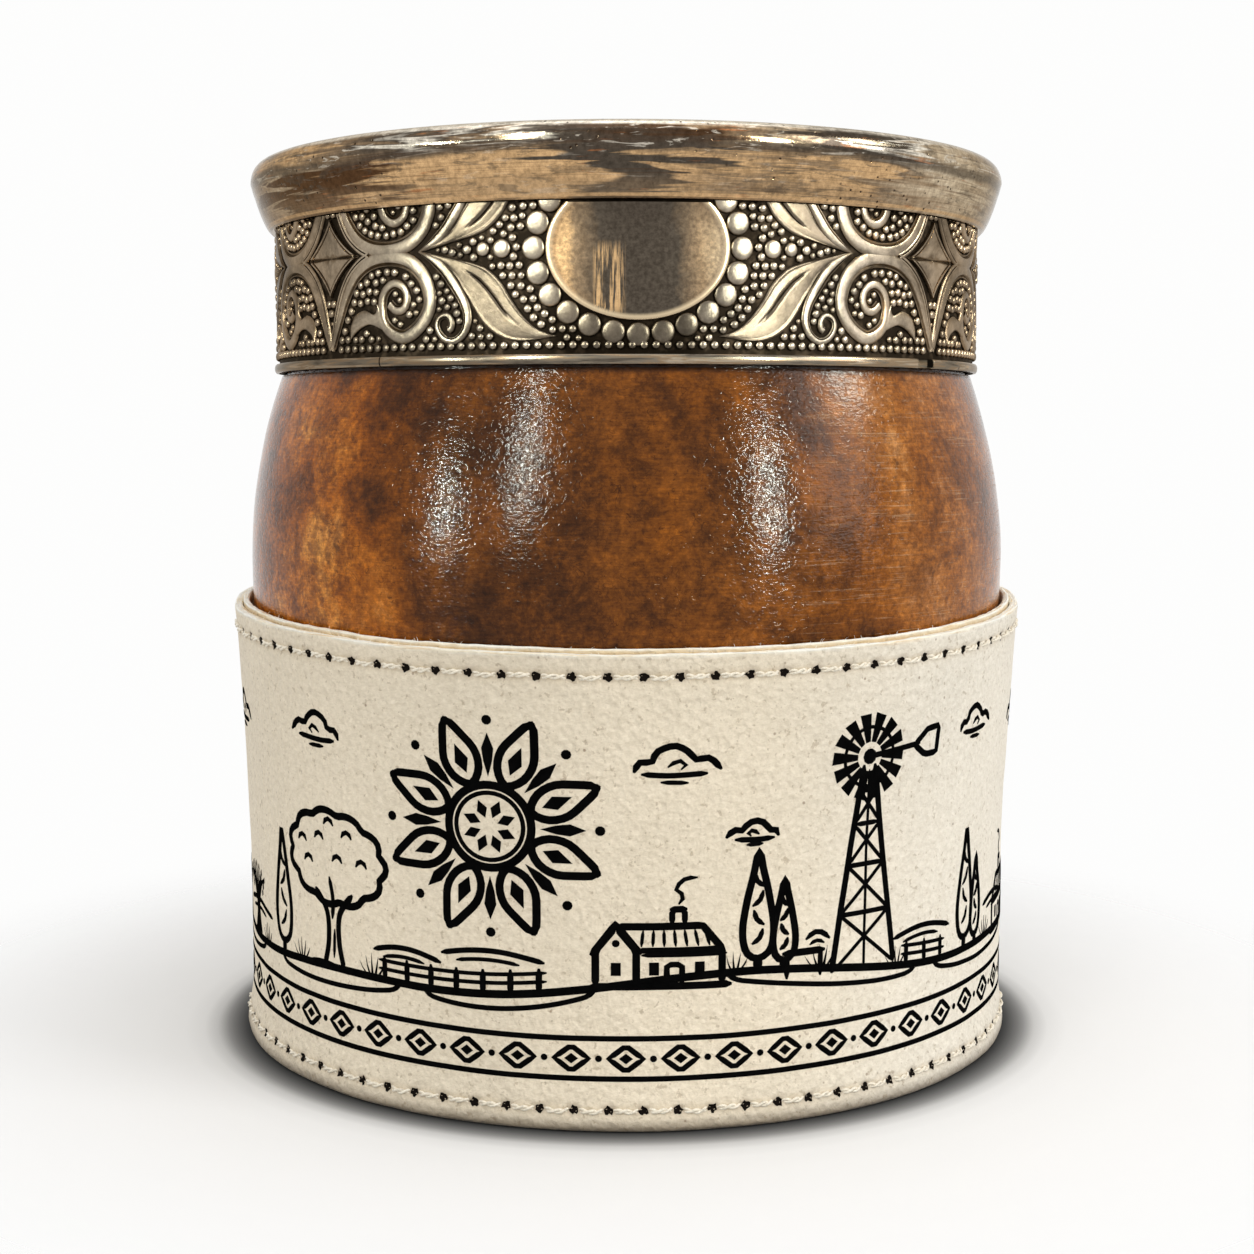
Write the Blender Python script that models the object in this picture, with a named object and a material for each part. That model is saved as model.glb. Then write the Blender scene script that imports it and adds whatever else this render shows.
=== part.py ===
"""Mate cup: a calabash gourd with a nickel-silver mouthpiece, standing in a stitched leather sleeve.

Metres, +Z up. The origin is in the middle of the sole, on the surface that the cup stands on.
The front, with its oval plate, faces -Y. The sleeve's two ends butt together at the back, at +Y.
Profiles are lists of (radius, height) points. Positions round the axis are polar angles, so the
front is at 270 degrees and the back at 90 degrees.
"""

import math

import bmesh
import bpy

MM = 0.001
FULL_TURN = 2 * math.pi
BACK = math.radians(90)
FRONT = math.radians(270)

# Clearances between pieces
SEAT_GAP = 0.3 * MM
PLY_GAP = 0.1 * MM
SOLDER_GAP = 0.1 * MM

# Sole and insole
SOLE_THICKNESS = 2.4 * MM
INSOLE_THICKNESS = 1.3 * MM

# Gourd: a full round base, a belly, a shoulder, and a neck cut back to seat the band
BELLY_RADIUS = 43.0 * MM
BELLY_RISE = 49.1 * MM
SHOULDER_RISE = 20.7 * MM
SHOULDER_DROP = 3.75 * MM
NECK_REBATE = 0.55 * MM
NECK_RISE = 18.4 * MM
GOURD_WALL = 4.6 * MM
NECK_WALL = 4.3 * MM
GOURD_FLOOR = 6.0 * MM
GOURD_SEAT_RADIUS = 12.0 * MM
BASE_FULLNESS = 0.7

# Band round the neck, with the wire along its lower edge
BAND_SHEET = 0.5 * MM
BAND_JOINT = 0.15 * MM
EDGE_WIRE_HEIGHT = 1.0 * MM
EDGE_WIRE_PROUD = 0.45 * MM
EDGE_WIRE_JOINT = FRONT - math.radians(38)

# Oval plates on the band
OVAL_WIDTH = 17.7 * MM
OVAL_HEIGHT = 13.8 * MM
OVAL_THICKNESS = 0.45 * MM
OVAL_LIFT = 3.2 * MM
OVAL_CHAMFER = 0.35 * MM
OVAL_TURN = math.radians(1.7)
OVAL_SPACING = math.radians(102.4)

# Mouth rim: sheet metal with a flared skirt over the band, a rolled crest and a leg into the mouth
LIP_SHEET = 0.6 * MM
LIP_SKIRT = 2.5 * MM
LIP_RISE = 4.75 * MM
LIP_FLARE = 2.16 * MM
LIP_FLARE_POWER = 0.66
LIP_OUTER_ROUND_WIDTH = 1.5 * MM
LIP_OUTER_ROUND_HEIGHT = 2.05 * MM
LIP_FLAT = 2.2 * MM
LIP_LEG = 1.2 * MM

# Collar inside the mouth
COLLAR_SHEET = 0.6 * MM
COLLAR_DEPTH = 12.5 * MM

# Sleeve: two leather plies, drawn in to a waist and let out again over the sole
SLEEVE_FIT = 0.3 * MM
OUTER_PLY = 0.9 * MM
LINING_PLY = 0.7 * MM
SLEEVE_BELOW_BELLY = 4.1 * MM
SLEEVE_DIP = 2.35 * MM
LINING_PROUD = 0.45 * MM
WAIST_TAPER = 1.4 * MM
WAIST_TAPER_POWER = 2.2
WAIST_RISE = 11.0 * MM
FOOT_FLARE = 0.7 * MM
FOOT_RISE = 6.0 * MM
SEAM_SLIT = 0.6 * MM

# Stitching along the sleeve's edges
STITCH_PITCH = 3.47 * MM
STITCH_INSET = 2.27 * MM
THREAD_DIAMETER = 0.5 * MM
GROOVE_PLAY = 0.2 * MM
GROOVE_DEPTH = 0.4 * MM
STITCH_CROWN = 0.12 * MM

# Lace across the sleeve's butted ends
LACE_DIAMETER = 0.7 * MM
LACE_HALF_WIDTH = 2.1 * MM
LACE_PITCH = 3.3 * MM
LACE_TURN = 0.9 * MM
LACE_MARGIN = 4.6 * MM

# Fineness of the shapes
SEGMENTS = 60
BASE_STEPS = 6
SHOULDER_STEPS = 4
ROUND_STEPS = 3
FOOT_STEPS = 2
SLEEVE_STEPS = 3
OVAL_STEPS = 12
WELD_DISTANCE = 1e-7
SHARP_ANGLE = math.radians(35)

# Heights that follow from the sizes
INSOLE_BOTTOM = SOLE_THICKNESS + SEAT_GAP
INSOLE_TOP = INSOLE_BOTTOM + INSOLE_THICKNESS
GOURD_BOTTOM = INSOLE_TOP + SEAT_GAP
BELLY_Z = GOURD_BOTTOM + BELLY_RISE
SHOULDER_Z = BELLY_Z + SHOULDER_RISE
MOUTH_Z = SHOULDER_Z + NECK_RISE
BAND_BOTTOM = SHOULDER_Z + SEAT_GAP
LIP_EDGE_Z = MOUTH_Z - LIP_SKIRT
CREST_Z = MOUTH_Z + LIP_RISE
LEG_END_Z = MOUTH_Z + SEAT_GAP
SLEEVE_TOP = BELLY_Z - SLEEVE_BELOW_BELLY

# Radii that follow from the sizes
SHOULDER_RADIUS = BELLY_RADIUS - SHOULDER_DROP
NECK_RADIUS = SHOULDER_RADIUS - NECK_REBATE
NECK_BORE = NECK_RADIUS - NECK_WALL
BAND_INNER = NECK_RADIUS + SEAT_GAP
BAND_OUTER = BAND_INNER + BAND_SHEET
TRIM_SEAT = BAND_OUTER + SOLDER_GAP
LIP_EDGE_RADIUS = TRIM_SEAT + LIP_SHEET
LIP_WIDEST = LIP_EDGE_RADIUS + LIP_FLARE
COLLAR_OUTER = NECK_BORE - SEAT_GAP
COLLAR_INNER = COLLAR_OUTER - COLLAR_SHEET
SLEEVE_WALL = OUTER_PLY + PLY_GAP + LINING_PLY
SLEEVE_TOP_RADIUS = BELLY_RADIUS + SLEEVE_FIT + SLEEVE_WALL
SLEEVE_WAIST_RADIUS = SLEEVE_TOP_RADIUS - WAIST_TAPER

# The rim's two rounds: centre radius, centre height, width and height
OUTER_ROUND = (
    LIP_WIDEST - LIP_OUTER_ROUND_WIDTH,
    CREST_Z - LIP_OUTER_ROUND_HEIGHT,
    LIP_OUTER_ROUND_WIDTH,
    LIP_OUTER_ROUND_HEIGHT,
)
INNER_ROUND = (
    OUTER_ROUND[0] - LIP_FLAT,
    LEG_END_Z + LIP_LEG,
    OUTER_ROUND[0] - LIP_FLAT - COLLAR_INNER,
    CREST_Z - LEG_END_Z - LIP_LEG,
)

# Angles and counts that follow from the sizes
SEAM_ANGLE = SEAM_SLIT / SLEEVE_TOP_RADIUS
STITCH_COUNT = round((FULL_TURN - SEAM_ANGLE) * SLEEVE_TOP_RADIUS / STITCH_PITCH)
STITCH_ANGLE = (FULL_TURN - SEAM_ANGLE) / STITCH_COUNT


def clear_scene():
    for old in list(bpy.data.objects):
        bpy.data.objects.remove(old, do_unlink=True)


def make_material(name, colour, roughness, metallic=0.0):
    material = bpy.data.materials.new(name)
    material.use_nodes = True
    shader = material.node_tree.nodes["Principled BSDF"]
    shader.inputs["Base Color"].default_value = (*colour, 1.0)
    shader.inputs["Roughness"].default_value = roughness
    shader.inputs["Metallic"].default_value = metallic
    return material


def around(radius, angle, z):
    """The point at a polar angle and radius, at a height."""
    return radius * math.cos(angle), radius * math.sin(angle), z


def add_piece(name, shape, material):
    """Turns a closed bmesh into the named object."""
    bmesh.ops.recalc_face_normals(shape, faces=shape.faces)
    mesh = bpy.data.meshes.new(name)
    shape.to_mesh(mesh)
    shape.free()
    mesh.materials.append(material)
    mesh.shade_smooth()
    mesh.set_sharp_from_angle(angle=SHARP_ANGLE)
    piece = bpy.data.objects.new(name, mesh)
    bpy.context.scene.collection.objects.link(piece)


def spin_profile(profile, closed, start, turn):
    """A bmesh of the profile swept round the axis from a start angle."""
    shape = bmesh.new()
    points = [shape.verts.new(around(r, start, z)) for r, z in profile]
    pairs = list(zip(points, points[1:]))
    if closed:
        pairs.append((points[-1], points[0]))
    edges = [shape.edges.new(pair) for pair in pairs]
    bmesh.ops.spin(
        shape,
        geom=points + edges,
        cent=(0, 0, 0),
        axis=(0, 0, 1),
        dvec=(0, 0, 0),
        angle=turn,
        steps=SEGMENTS,
        use_merge=turn == FULL_TURN,
        use_duplicate=False,
    )
    bmesh.ops.remove_doubles(shape, verts=shape.verts, dist=WELD_DISTANCE)
    return shape


def turned_ring(name, profile, material):
    """A ring whose closed profile doesn't reach the axis."""
    shape = spin_profile(profile, True, FRONT, FULL_TURN)
    return add_piece(name, shape, material)


def turned_solid(name, profile, material):
    """A solid whose profile starts and ends on the axis."""
    shape = spin_profile(profile, False, FRONT, FULL_TURN)
    return add_piece(name, shape, material)


def split_ring(profile, joint, slit):
    """A bmesh of a strip bent into a ring, whose two ends leave a slit at the joint's angle."""
    shape = spin_profile(profile, True, joint + slit / 2, FULL_TURN - slit)
    bmesh.ops.holes_fill(shape, edges=shape.edges, sides=0)
    return shape


def ellipse_arc(centre_r, centre_z, half_width, half_height, first, last, steps):
    """Points on an ellipse from the angle first to the angle last, both in degrees."""
    points = []
    for i in range(steps + 1):
        angle = math.radians(first + (last - first) * i / steps)
        points.append(
            (centre_r + half_width * math.cos(angle), centre_z + half_height * math.sin(angle))
        )
    return points


def gourd_side(belly_radius, neck_radius, bottom):
    """One side of the gourd's wall, from the axis over its flat seat and belly to its shoulder."""
    points = [(0.0, bottom)]
    for i in range(BASE_STEPS + 1):
        turn = math.radians(90) * i / BASE_STEPS
        swell = math.sin(turn) ** BASE_FULLNESS
        radius = GOURD_SEAT_RADIUS + (belly_radius - GOURD_SEAT_RADIUS) * swell
        points.append((radius, bottom + (BELLY_Z - bottom) * (1 - math.cos(turn))))
    for i in range(1, SHOULDER_STEPS + 1):
        share = i / SHOULDER_STEPS
        radius = belly_radius - (belly_radius - neck_radius) * share**2
        points.append((radius, BELLY_Z + SHOULDER_RISE * share))
    return points


def build_gourd(material):
    outside = gourd_side(BELLY_RADIUS, SHOULDER_RADIUS, GOURD_BOTTOM)
    neck = [(NECK_RADIUS, SHOULDER_Z), (NECK_RADIUS, MOUTH_Z), (NECK_BORE, MOUTH_Z)]
    inside = gourd_side(BELLY_RADIUS - GOURD_WALL, NECK_BORE, GOURD_BOTTOM + GOURD_FLOOR)
    turned_solid("gourd_shell", outside + neck + inside[::-1], material)


def rectangle(inner, outer, bottom, top):
    return [(inner, bottom), (outer, bottom), (outer, top), (inner, top)]


def build_band(material):
    """The chased strip: the neck wrapped once, with its joint at the back."""
    profile = rectangle(BAND_INNER, BAND_OUTER, BAND_BOTTOM, MOUTH_Z)
    shape = split_ring(profile, BACK, BAND_JOINT / BAND_OUTER)
    add_piece("chased_band", shape, material)


def build_edge_wire(material):
    """A half-round wire: flat against the band, rounded outside."""
    profile = ellipse_arc(
        TRIM_SEAT,
        BAND_BOTTOM + EDGE_WIRE_HEIGHT / 2,
        EDGE_WIRE_PROUD,
        EDGE_WIRE_HEIGHT / 2,
        -90,
        90,
        ROUND_STEPS,
    )
    shape = split_ring(profile, EDGE_WIRE_JOINT, BAND_JOINT / BAND_OUTER)
    add_piece("band_edge_wire", shape, material)


def oval_slice(low, high):
    """Profile of a plate across its thickness, with both front edges chamfered."""
    edge = TRIM_SEAT + OVAL_THICKNESS / 2
    face = TRIM_SEAT + OVAL_THICKNESS
    inset = min(OVAL_CHAMFER, (high - low) / 3)
    return [
        (TRIM_SEAT, low),
        (edge, low),
        (face, low + inset),
        (face, high - inset),
        (edge, high),
        (TRIM_SEAT, high),
    ]


def build_oval_plate(name, facing, material):
    """A thin oval bent round the band, cut off level where the rim's skirt covers it."""
    highest = LIP_EDGE_Z - SEAT_GAP
    half_height = OVAL_HEIGHT / 2
    centre_z = BAND_BOTTOM + EDGE_WIRE_HEIGHT + OVAL_LIFT + half_height
    tip = max(centre_z - highest, 0) + 2 * OVAL_CHAMFER
    reach = math.asin(math.sqrt(1 - (tip / half_height) ** 2))
    shape = bmesh.new()
    rows = []
    for i in range(OVAL_STEPS + 1):
        across = math.sin(reach * (2 * i / OVAL_STEPS - 1))
        half = half_height * math.sqrt(1 - across**2)
        angle = facing + across * OVAL_WIDTH / 2 / TRIM_SEAT
        profile = oval_slice(centre_z - half, min(centre_z + half, highest))
        rows.append([shape.verts.new(around(r, angle, z)) for r, z in profile])
    for row, following in zip(rows, rows[1:]):
        for j, vert in enumerate(row):
            k = (j + 1) % len(row)
            shape.faces.new((vert, row[k], following[k], following[j]))
    shape.faces.new(rows[0])
    shape.faces.new(rows[-1])
    add_piece(name, shape, material)


def lip_side(inset):
    """One side of the rim's sheet: up the skirt, over the crest and down the leg into the mouth."""
    outer_r, outer_z, outer_width, outer_height = OUTER_ROUND
    inner_r, inner_z, inner_width, inner_height = INNER_ROUND
    skirt = []
    for i in range(ROUND_STEPS):
        share = i / ROUND_STEPS
        radius = LIP_EDGE_RADIUS + LIP_FLARE * share**LIP_FLARE_POWER
        skirt.append((radius - inset, LIP_EDGE_Z + (outer_z - LIP_EDGE_Z) * share))
    outer = ellipse_arc(
        outer_r, outer_z, outer_width - inset, outer_height - inset, 0, 90, ROUND_STEPS
    )
    inner = ellipse_arc(
        inner_r, inner_z, inner_width - inset, inner_height - inset, 90, 180, ROUND_STEPS
    )
    return skirt + outer + inner + [(COLLAR_INNER + inset, LEG_END_Z)]


def build_lip(material):
    turned_ring("rim_lip", lip_side(0) + lip_side(LIP_SHEET)[::-1], material)


def build_bedding(material):
    """Cement on the gourd's sawn mouth, which fills the rim and holds it."""
    floor = MOUTH_Z + SEAT_GAP
    roof = CREST_Z - LIP_SHEET - SEAT_GAP
    inner_r, inner_z = INNER_ROUND[:2]
    outer = TRIM_SEAT
    profile = [(NECK_BORE, floor), (outer, floor), (outer, roof), (inner_r, roof)]
    turned_ring("lip_bedding", profile + [(NECK_BORE, inner_z)], material)


def build_collar(material):
    """The metal tube that covers the gourd's cut wall, soldered to the rim's leg."""
    top = LEG_END_Z - SOLDER_GAP
    profile = rectangle(COLLAR_INNER, COLLAR_OUTER, top - COLLAR_DEPTH, top)
    turned_ring("mouth_collar", profile, material)


def sleeve_radius(z):
    """Radius of the sleeve's outer face at a height, before its top edge is dipped."""
    if z < FOOT_RISE:
        return SLEEVE_WAIST_RADIUS + FOOT_FLARE * (1 + math.cos(math.pi * z / FOOT_RISE)) / 2
    share = max(z - WAIST_RISE, 0) / (SLEEVE_TOP - WAIST_RISE)
    return SLEEVE_WAIST_RADIUS + WAIST_TAPER * share**WAIST_TAPER_POWER


def dipped(point):
    """Moves a point's height down at the front and up at the back, in proportion to its height."""
    x, y, z = point
    return x, y, z * (1 + SLEEVE_DIP / SLEEVE_TOP * y / math.hypot(x, y))


def ply_heights(top):
    """Heights of the points on a ply's side: up the foot, then from the waist to the top."""
    foot = [FOOT_RISE * i / FOOT_STEPS for i in range(FOOT_STEPS + 1)]
    body = [WAIST_RISE + (top - WAIST_RISE) * i / SLEEVE_STEPS for i in range(SLEEVE_STEPS + 1)]
    return foot + body


def ply_side(top, inset):
    """A plain side of a ply, at a depth inside the sleeve's outer face."""
    return [(sleeve_radius(z) - inset, z) for z in ply_heights(top)]


def grooved_side(stitch_rows):
    """The sleeve's outer face, with a groove for each row of stitches."""
    half = THREAD_DIAMETER / 2 + GROOVE_PLAY
    side = [
        (r, z) for r, z in ply_side(SLEEVE_TOP, 0) if all(abs(z - row) > half for row in stitch_rows)
    ]
    for row in stitch_rows:
        floor = sleeve_radius(row) - GROOVE_DEPTH
        side += [
            (sleeve_radius(row - half), row - half),
            (floor, row - half / 2),
            (floor, row + half / 2),
            (sleeve_radius(row + half), row + half),
        ]
    return sorted(side, key=lambda point: point[1])


def build_ply(name, profile, material):
    """A strap bent round the gourd, with its ends butted at the back and its top edge dipped."""
    shape = split_ring(profile, BACK, SEAM_ANGLE)
    for vert in shape.verts:
        vert.co = dipped(vert.co)
    add_piece(name, shape, material)


def build_sleeve(outer_material, lining_material):
    stitch_rows = (STITCH_INSET, SLEEVE_TOP - STITCH_INSET)
    outer_back = ply_side(SLEEVE_TOP, OUTER_PLY)
    build_ply("sleeve_outer", grooved_side(stitch_rows) + outer_back[::-1], outer_material)
    lining_top = SLEEVE_TOP + LINING_PROUD
    lining_face = ply_side(lining_top, OUTER_PLY + PLY_GAP)
    lining_back = ply_side(lining_top, SLEEVE_WALL)
    build_ply("sleeve_lining", lining_face + lining_back[::-1], lining_material)


def build_disc(name, bottom, top, material):
    """A round of leather or board cut to fit inside the sleeve's foot."""
    radius = sleeve_radius(top) - SLEEVE_WALL - SEAT_GAP
    profile = [(0.0, bottom), (radius, bottom), (radius, top), (0.0, top)]
    turned_solid(name, profile, material)


def build_thread(name, points, diameter, material):
    """A tube of thread through the points, with closed ends."""
    curve = bpy.data.curves.new(name, "CURVE")
    curve.dimensions = "3D"
    curve.bevel_depth = diameter / 2
    curve.bevel_resolution = 0
    curve.use_fill_caps = True
    spline = curve.splines.new("POLY")
    spline.points.add(len(points) - 1)
    for spot, point in zip(spline.points, points):
        spot.co = (*point, 1.0)
    curve.materials.append(material)
    piece = bpy.data.objects.new(name, curve)
    bpy.context.scene.collection.objects.link(piece)


def build_stitch_row(name, height, material):
    """Thread in its groove: low at each hole and crowned between two holes."""
    low = sleeve_radius(height) - GROOVE_DEPTH + PLY_GAP + THREAD_DIAMETER / 2
    points = []
    for half_step in range(2, 2 * STITCH_COUNT - 1):
        angle = BACK + SEAM_ANGLE / 2 + STITCH_ANGLE * half_step / 2
        points.append(dipped(around(low + STITCH_CROWN * (half_step % 2), angle, height)))
    build_thread(name, points, THREAD_DIAMETER, material)


def build_seam_lacing(material):
    """A lace up the back, which crosses the butted ends and turns short on each side."""
    lowest = LACE_MARGIN
    highest = SLEEVE_TOP - LACE_MARGIN
    crossings = round((highest - lowest) / LACE_PITCH)
    points = []
    for i in range(crossings + 1):
        middle = lowest + (highest - lowest) * i / crossings
        side = LACE_HALF_WIDTH if i % 2 else -LACE_HALF_WIDTH
        for height in (middle - LACE_TURN / 2, middle + LACE_TURN / 2):
            radius = sleeve_radius(height) + SEAT_GAP + LACE_DIAMETER / 2
            points.append(dipped(around(radius, BACK + side / radius, height)))
    build_thread("seam_lacing", points, LACE_DIAMETER, material)


def build_leatherwork():
    leather = make_material("pale_leather", (0.78, 0.72, 0.60), 0.75)
    lining = make_material("lining_leather", (0.80, 0.66, 0.45), 0.85)
    sole = make_material("sole_leather", (0.55, 0.40, 0.25), 0.8)
    board = make_material("insole_board", (0.45, 0.36, 0.26), 0.9)
    thread = make_material("waxed_thread", (0.86, 0.80, 0.66), 0.7)
    lace = make_material("leather_lace", (0.70, 0.58, 0.40), 0.7)
    build_disc("sole", 0.0, SOLE_THICKNESS, sole)
    build_disc("insole", INSOLE_BOTTOM, INSOLE_TOP, board)
    build_sleeve(leather, lining)
    build_stitch_row("top_stitching", SLEEVE_TOP - STITCH_INSET, thread)
    build_stitch_row("bottom_stitching", STITCH_INSET, thread)
    build_seam_lacing(lace)


def build_metalwork():
    polished = make_material("polished_metal", (0.62, 0.56, 0.47), 0.2, 1.0)
    chased = make_material("chased_metal", (0.50, 0.46, 0.40), 0.35, 1.0)
    lined = make_material("collar_metal", (0.58, 0.54, 0.47), 0.3, 1.0)
    cement = make_material("cement", (0.55, 0.52, 0.48), 0.9)
    build_band(chased)
    build_edge_wire(polished)
    middle = FRONT + OVAL_TURN
    build_oval_plate("oval_plate_front", middle, polished)
    build_oval_plate("oval_plate_right", middle + OVAL_SPACING, polished)
    build_oval_plate("oval_plate_left", middle - OVAL_SPACING, polished)
    build_lip(polished)
    build_collar(lined)
    build_bedding(cement)


def build_cup():
    clear_scene()
    build_leatherwork()
    build_gourd(make_material("gourd", (0.30, 0.12, 0.035), 0.35))
    build_metalwork()


build_cup()
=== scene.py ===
"""Mate cup: gourd, chased metal mouth band and stitched leather sleeve, finished for a render.

Lengths are in millimetres inside the functions and become metres when a mesh is made. Only the
settings, the floor, the lamps, the camera's place and the shaders use metres. Polar angles run
round the cup's axis: the front, with its oval plate, is at 270 degrees and the sleeve's butted
ends are at 90 degrees. An arc is a length along the surface, right of the front.
"""

import math

import bmesh
import bpy
import numpy as np
from mathutils import Euler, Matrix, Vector


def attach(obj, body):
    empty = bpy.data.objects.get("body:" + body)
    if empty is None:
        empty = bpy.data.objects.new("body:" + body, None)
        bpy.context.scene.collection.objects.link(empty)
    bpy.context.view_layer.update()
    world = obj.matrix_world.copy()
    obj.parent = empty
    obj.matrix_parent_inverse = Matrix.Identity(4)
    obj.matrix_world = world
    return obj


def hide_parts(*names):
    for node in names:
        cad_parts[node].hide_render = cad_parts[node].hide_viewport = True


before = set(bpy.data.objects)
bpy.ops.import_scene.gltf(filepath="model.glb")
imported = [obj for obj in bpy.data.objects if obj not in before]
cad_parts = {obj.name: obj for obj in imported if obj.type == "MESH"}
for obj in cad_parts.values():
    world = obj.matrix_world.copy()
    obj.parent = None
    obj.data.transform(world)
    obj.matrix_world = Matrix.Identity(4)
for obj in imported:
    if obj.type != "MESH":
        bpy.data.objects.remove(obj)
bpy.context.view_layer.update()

bl_info = {
    "name": "Mate Cup",
    "version": (1, 0, 0),
    "blender": (4, 5, 0),
    "location": "3D View > Sidebar > Mate Cup",
    "description": "Finishes a gourd mate cup: varnish, chased band, rim, stitched sleeve and its drawing",
    "category": "Object",
}

BODY = "root"

MM = 0.001
TURN = 2 * math.pi
BACK = math.radians(90)
FRONT = math.radians(270)
WELD = 1e-7

# Gourd, as its solid has it
GOURD_BOTTOM = 4.3
BELLY_Z = 53.4
SHOULDER_Z = 74.1
MOUTH_Z = 92.5
BELLY_RADIUS = 43.0
SHOULDER_RADIUS = 39.25
NECK_RADIUS = 38.7
NECK_BORE = 34.4
NECK_BEVEL = 0.3
GOURD_WALL = 4.6
GOURD_FLOOR = 6.0
GOURD_SEAT_RADIUS = 12.0
BASE_FULLNESS = 0.7
GOURD_COLUMNS = 200
NECK_FADE = 6.0
SEAT_FADE_START = 12.0
SEAT_FADE = 10.0

# Band, edge wire and oval plates
BAND_INNER = 39.0
BAND_OUTER = 39.5
BAND_BOTTOM = 74.4
BAND_JOINT = 0.15
BAND_SLIT = BAND_JOINT / BAND_OUTER
TRIM_SEAT = 39.6
WIRE_HEIGHT = 1.0
WIRE_PROUD = 0.45
WIRE_JOINT = FRONT - math.radians(38)
WIRE_NICK = 0.885
OVAL_TURN = math.radians(1.7)
OVAL_WIDTH = 17.7
OVAL_HEIGHT = 13.8
OVAL_MIDDLE = 85.5
OVAL_SPACING = math.radians(102.4)

# Chased pattern: p runs along the band from an oval's middle, q up and down from the mirror line
PATTERN_RADIUS = 39.9
PATTERN_MIDDLE = 85.5
HALF_UNIT = 35.65
PATTERN_FOOT = -9.9
PATTERN_TOP = 89.93
SUNK = 0.12

# Rim and collar
LIP_SHEET = 0.6
LIP_EDGE_Z = 90.0
LIP_EDGE_RADIUS = 40.2
LIP_FLARE = 2.16
LIP_FLARE_POWER = 0.66
LIP_NICK = 0.455
LEG_END_Z = 92.8
COLLAR_OUTER = 34.1
COLLAR_INNER = 33.5
COLLAR_TOP = LEG_END_Z - 0.1
COLLAR_LOW = COLLAR_TOP - 12.5
OUTER_ROUND = (40.86, 95.2, 1.5, 2.05)
INNER_ROUND = (38.66, 94.0, 5.16, 3.25)

# Sleeve
SLEEVE_TOP = 49.3
SLEEVE_TOP_RADIUS = 45.0
OUTER_PLY = 0.9
PLY_GAP = 0.1
SLEEVE_WALL = 1.7
SLEEVE_DIP = 2.35
LINING_PROUD = 0.45
WAIST_TAPER = 1.4
WAIST_TAPER_POWER = 2.2
WAIST_RISE = 11.0
FOOT_FLARE = 0.7
FOOT_RISE = 6.0
FOOT_ROUND = 0.7
FOOT_EDGE = 43.6
EDGE_ROUND = 0.22
FURROW_REACH = 0.55
FURROW_DEPTH = 0.1
DIMPLE_REACH = 0.6
DIMPLE_DEPTH = 0.24
FIBRE_HALF_THICK = 0.035
FIBRE_ROOTS = (0.2, 1.5)
FIBRE_REACHES = ((0.12, 0.6), (-1, 1), (-1, 0.5))
SEAM_SLIT = 0.6
SEAM_ANGLE = SEAM_SLIT / SLEEVE_TOP_RADIUS

# Stitches
STITCH_PITCH = 3.47
STITCH_INSET = 2.27
STITCH_START = 0.13
STITCH_SHARE = 0.74
STITCH_SAG = (-0.16, 0.1)
STITCH_RISE = 0.36
STITCH_DIVE = 0.22
STITCH_TWIST = 1.25
PLY_LIFT = 0.85
PLY_SPREAD = 1.25
STITCH_COUNT = round((TURN - SEAM_ANGLE) * SLEEVE_TOP_RADIUS / STITCH_PITCH)
STITCH_ANGLE = (TURN - SEAM_ANGLE) / STITCH_COUNT
STITCH_ROWS = (STITCH_INSET, SLEEVE_TOP - STITCH_INSET)
HOLE_REACH = 0.56
HOLE_RINGS = ((1.0, -0.12), (1.0, 0.02), (0.5, 0.035), (0.0, 0.035))

# Lacing at the back
LACE_HALF_WIDTH = 2.1
LACE_PITCH = 3.3
LACE_TURN = 0.9
LACE_MARGIN = 4.6
LACE_HALF_THICK = 0.34
LACE_LIFTS = (0.42, 0.36)

# The drawing lies on the sleeve: the radius at which its arcs are measured, and its last arc
DRAWING_RADIUS = 44.0
DRAWING_REACH = math.pi * DRAWING_RADIUS - 4.5

# Noises that make a surface uneven: height, cells round the cup, cells the other way, and seed
GROWTH = ((0.14, 7, 5, 3), (0.04, 31, 20, 4))
SHEET_DENTS = ((0.03, 260, 18, 5),)
WIRE_DENTS = ((0.05, 90, 1, 8),)
LIP_DENTS = ((0.035, 24, 3, 21), (0.012, 120, 9, 22))
BROAD_WAVER = ((0.1, 60, 2, 41),)
FINE_WAVER = ((0.05, 260, 6, 42),)

# The same for the leather, with heights as shares of the depth of its creases
CREASES = ((1.0, 22, 4, 31), (0.5, 90, 16, 32))
SLANTED_CREASES = ((0.6, 46, 3, 33),)

# Heights that hold all cells of a noise, and the height in which the slanted creases go once round
SHEET_SPAN = 18.0
LIP_SPAN = 8.0
LEATHER_SPAN = 50.0
SLANT_SPAN = 420.0

# Camera, fitted to the photograph, and floor: places in metres, lens and sensor in millimetres
CAMERA_PLACE = (0.0001, -0.23017, 0.06823)
CAMERA_PITCH = math.radians(84.26)
CAMERA_LENS = 56.59
CAMERA_SENSOR = 36.0
CAMERA_NEAREST = 0.01
FLOOR_RADII = (0.06, 0.12, 0.3, 1.6)
FLOOR_DROP = -0.00002


def screen(red, green, blue):
    """Linear colour of an 8-bit screen colour."""
    share = np.array([red, green, blue]) / 255
    linear = np.where(share <= 0.04045, share / 12.92, ((share + 0.055) / 1.055) ** 2.4)
    return tuple(linear.tolist())


def scaled(colour, factor):
    """The colour times a factor, with no channel over 1."""
    return [min(channel * factor, 1.0) for channel in colour]


# Points and curves


def full_turn(count):
    """Evenly spaced angles of one whole turn, the last one short of the first."""
    return np.arange(count) / count * TURN


def held(value):
    """The value, held between 0 and 1."""
    return np.clip(value, 0, 1)


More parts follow.
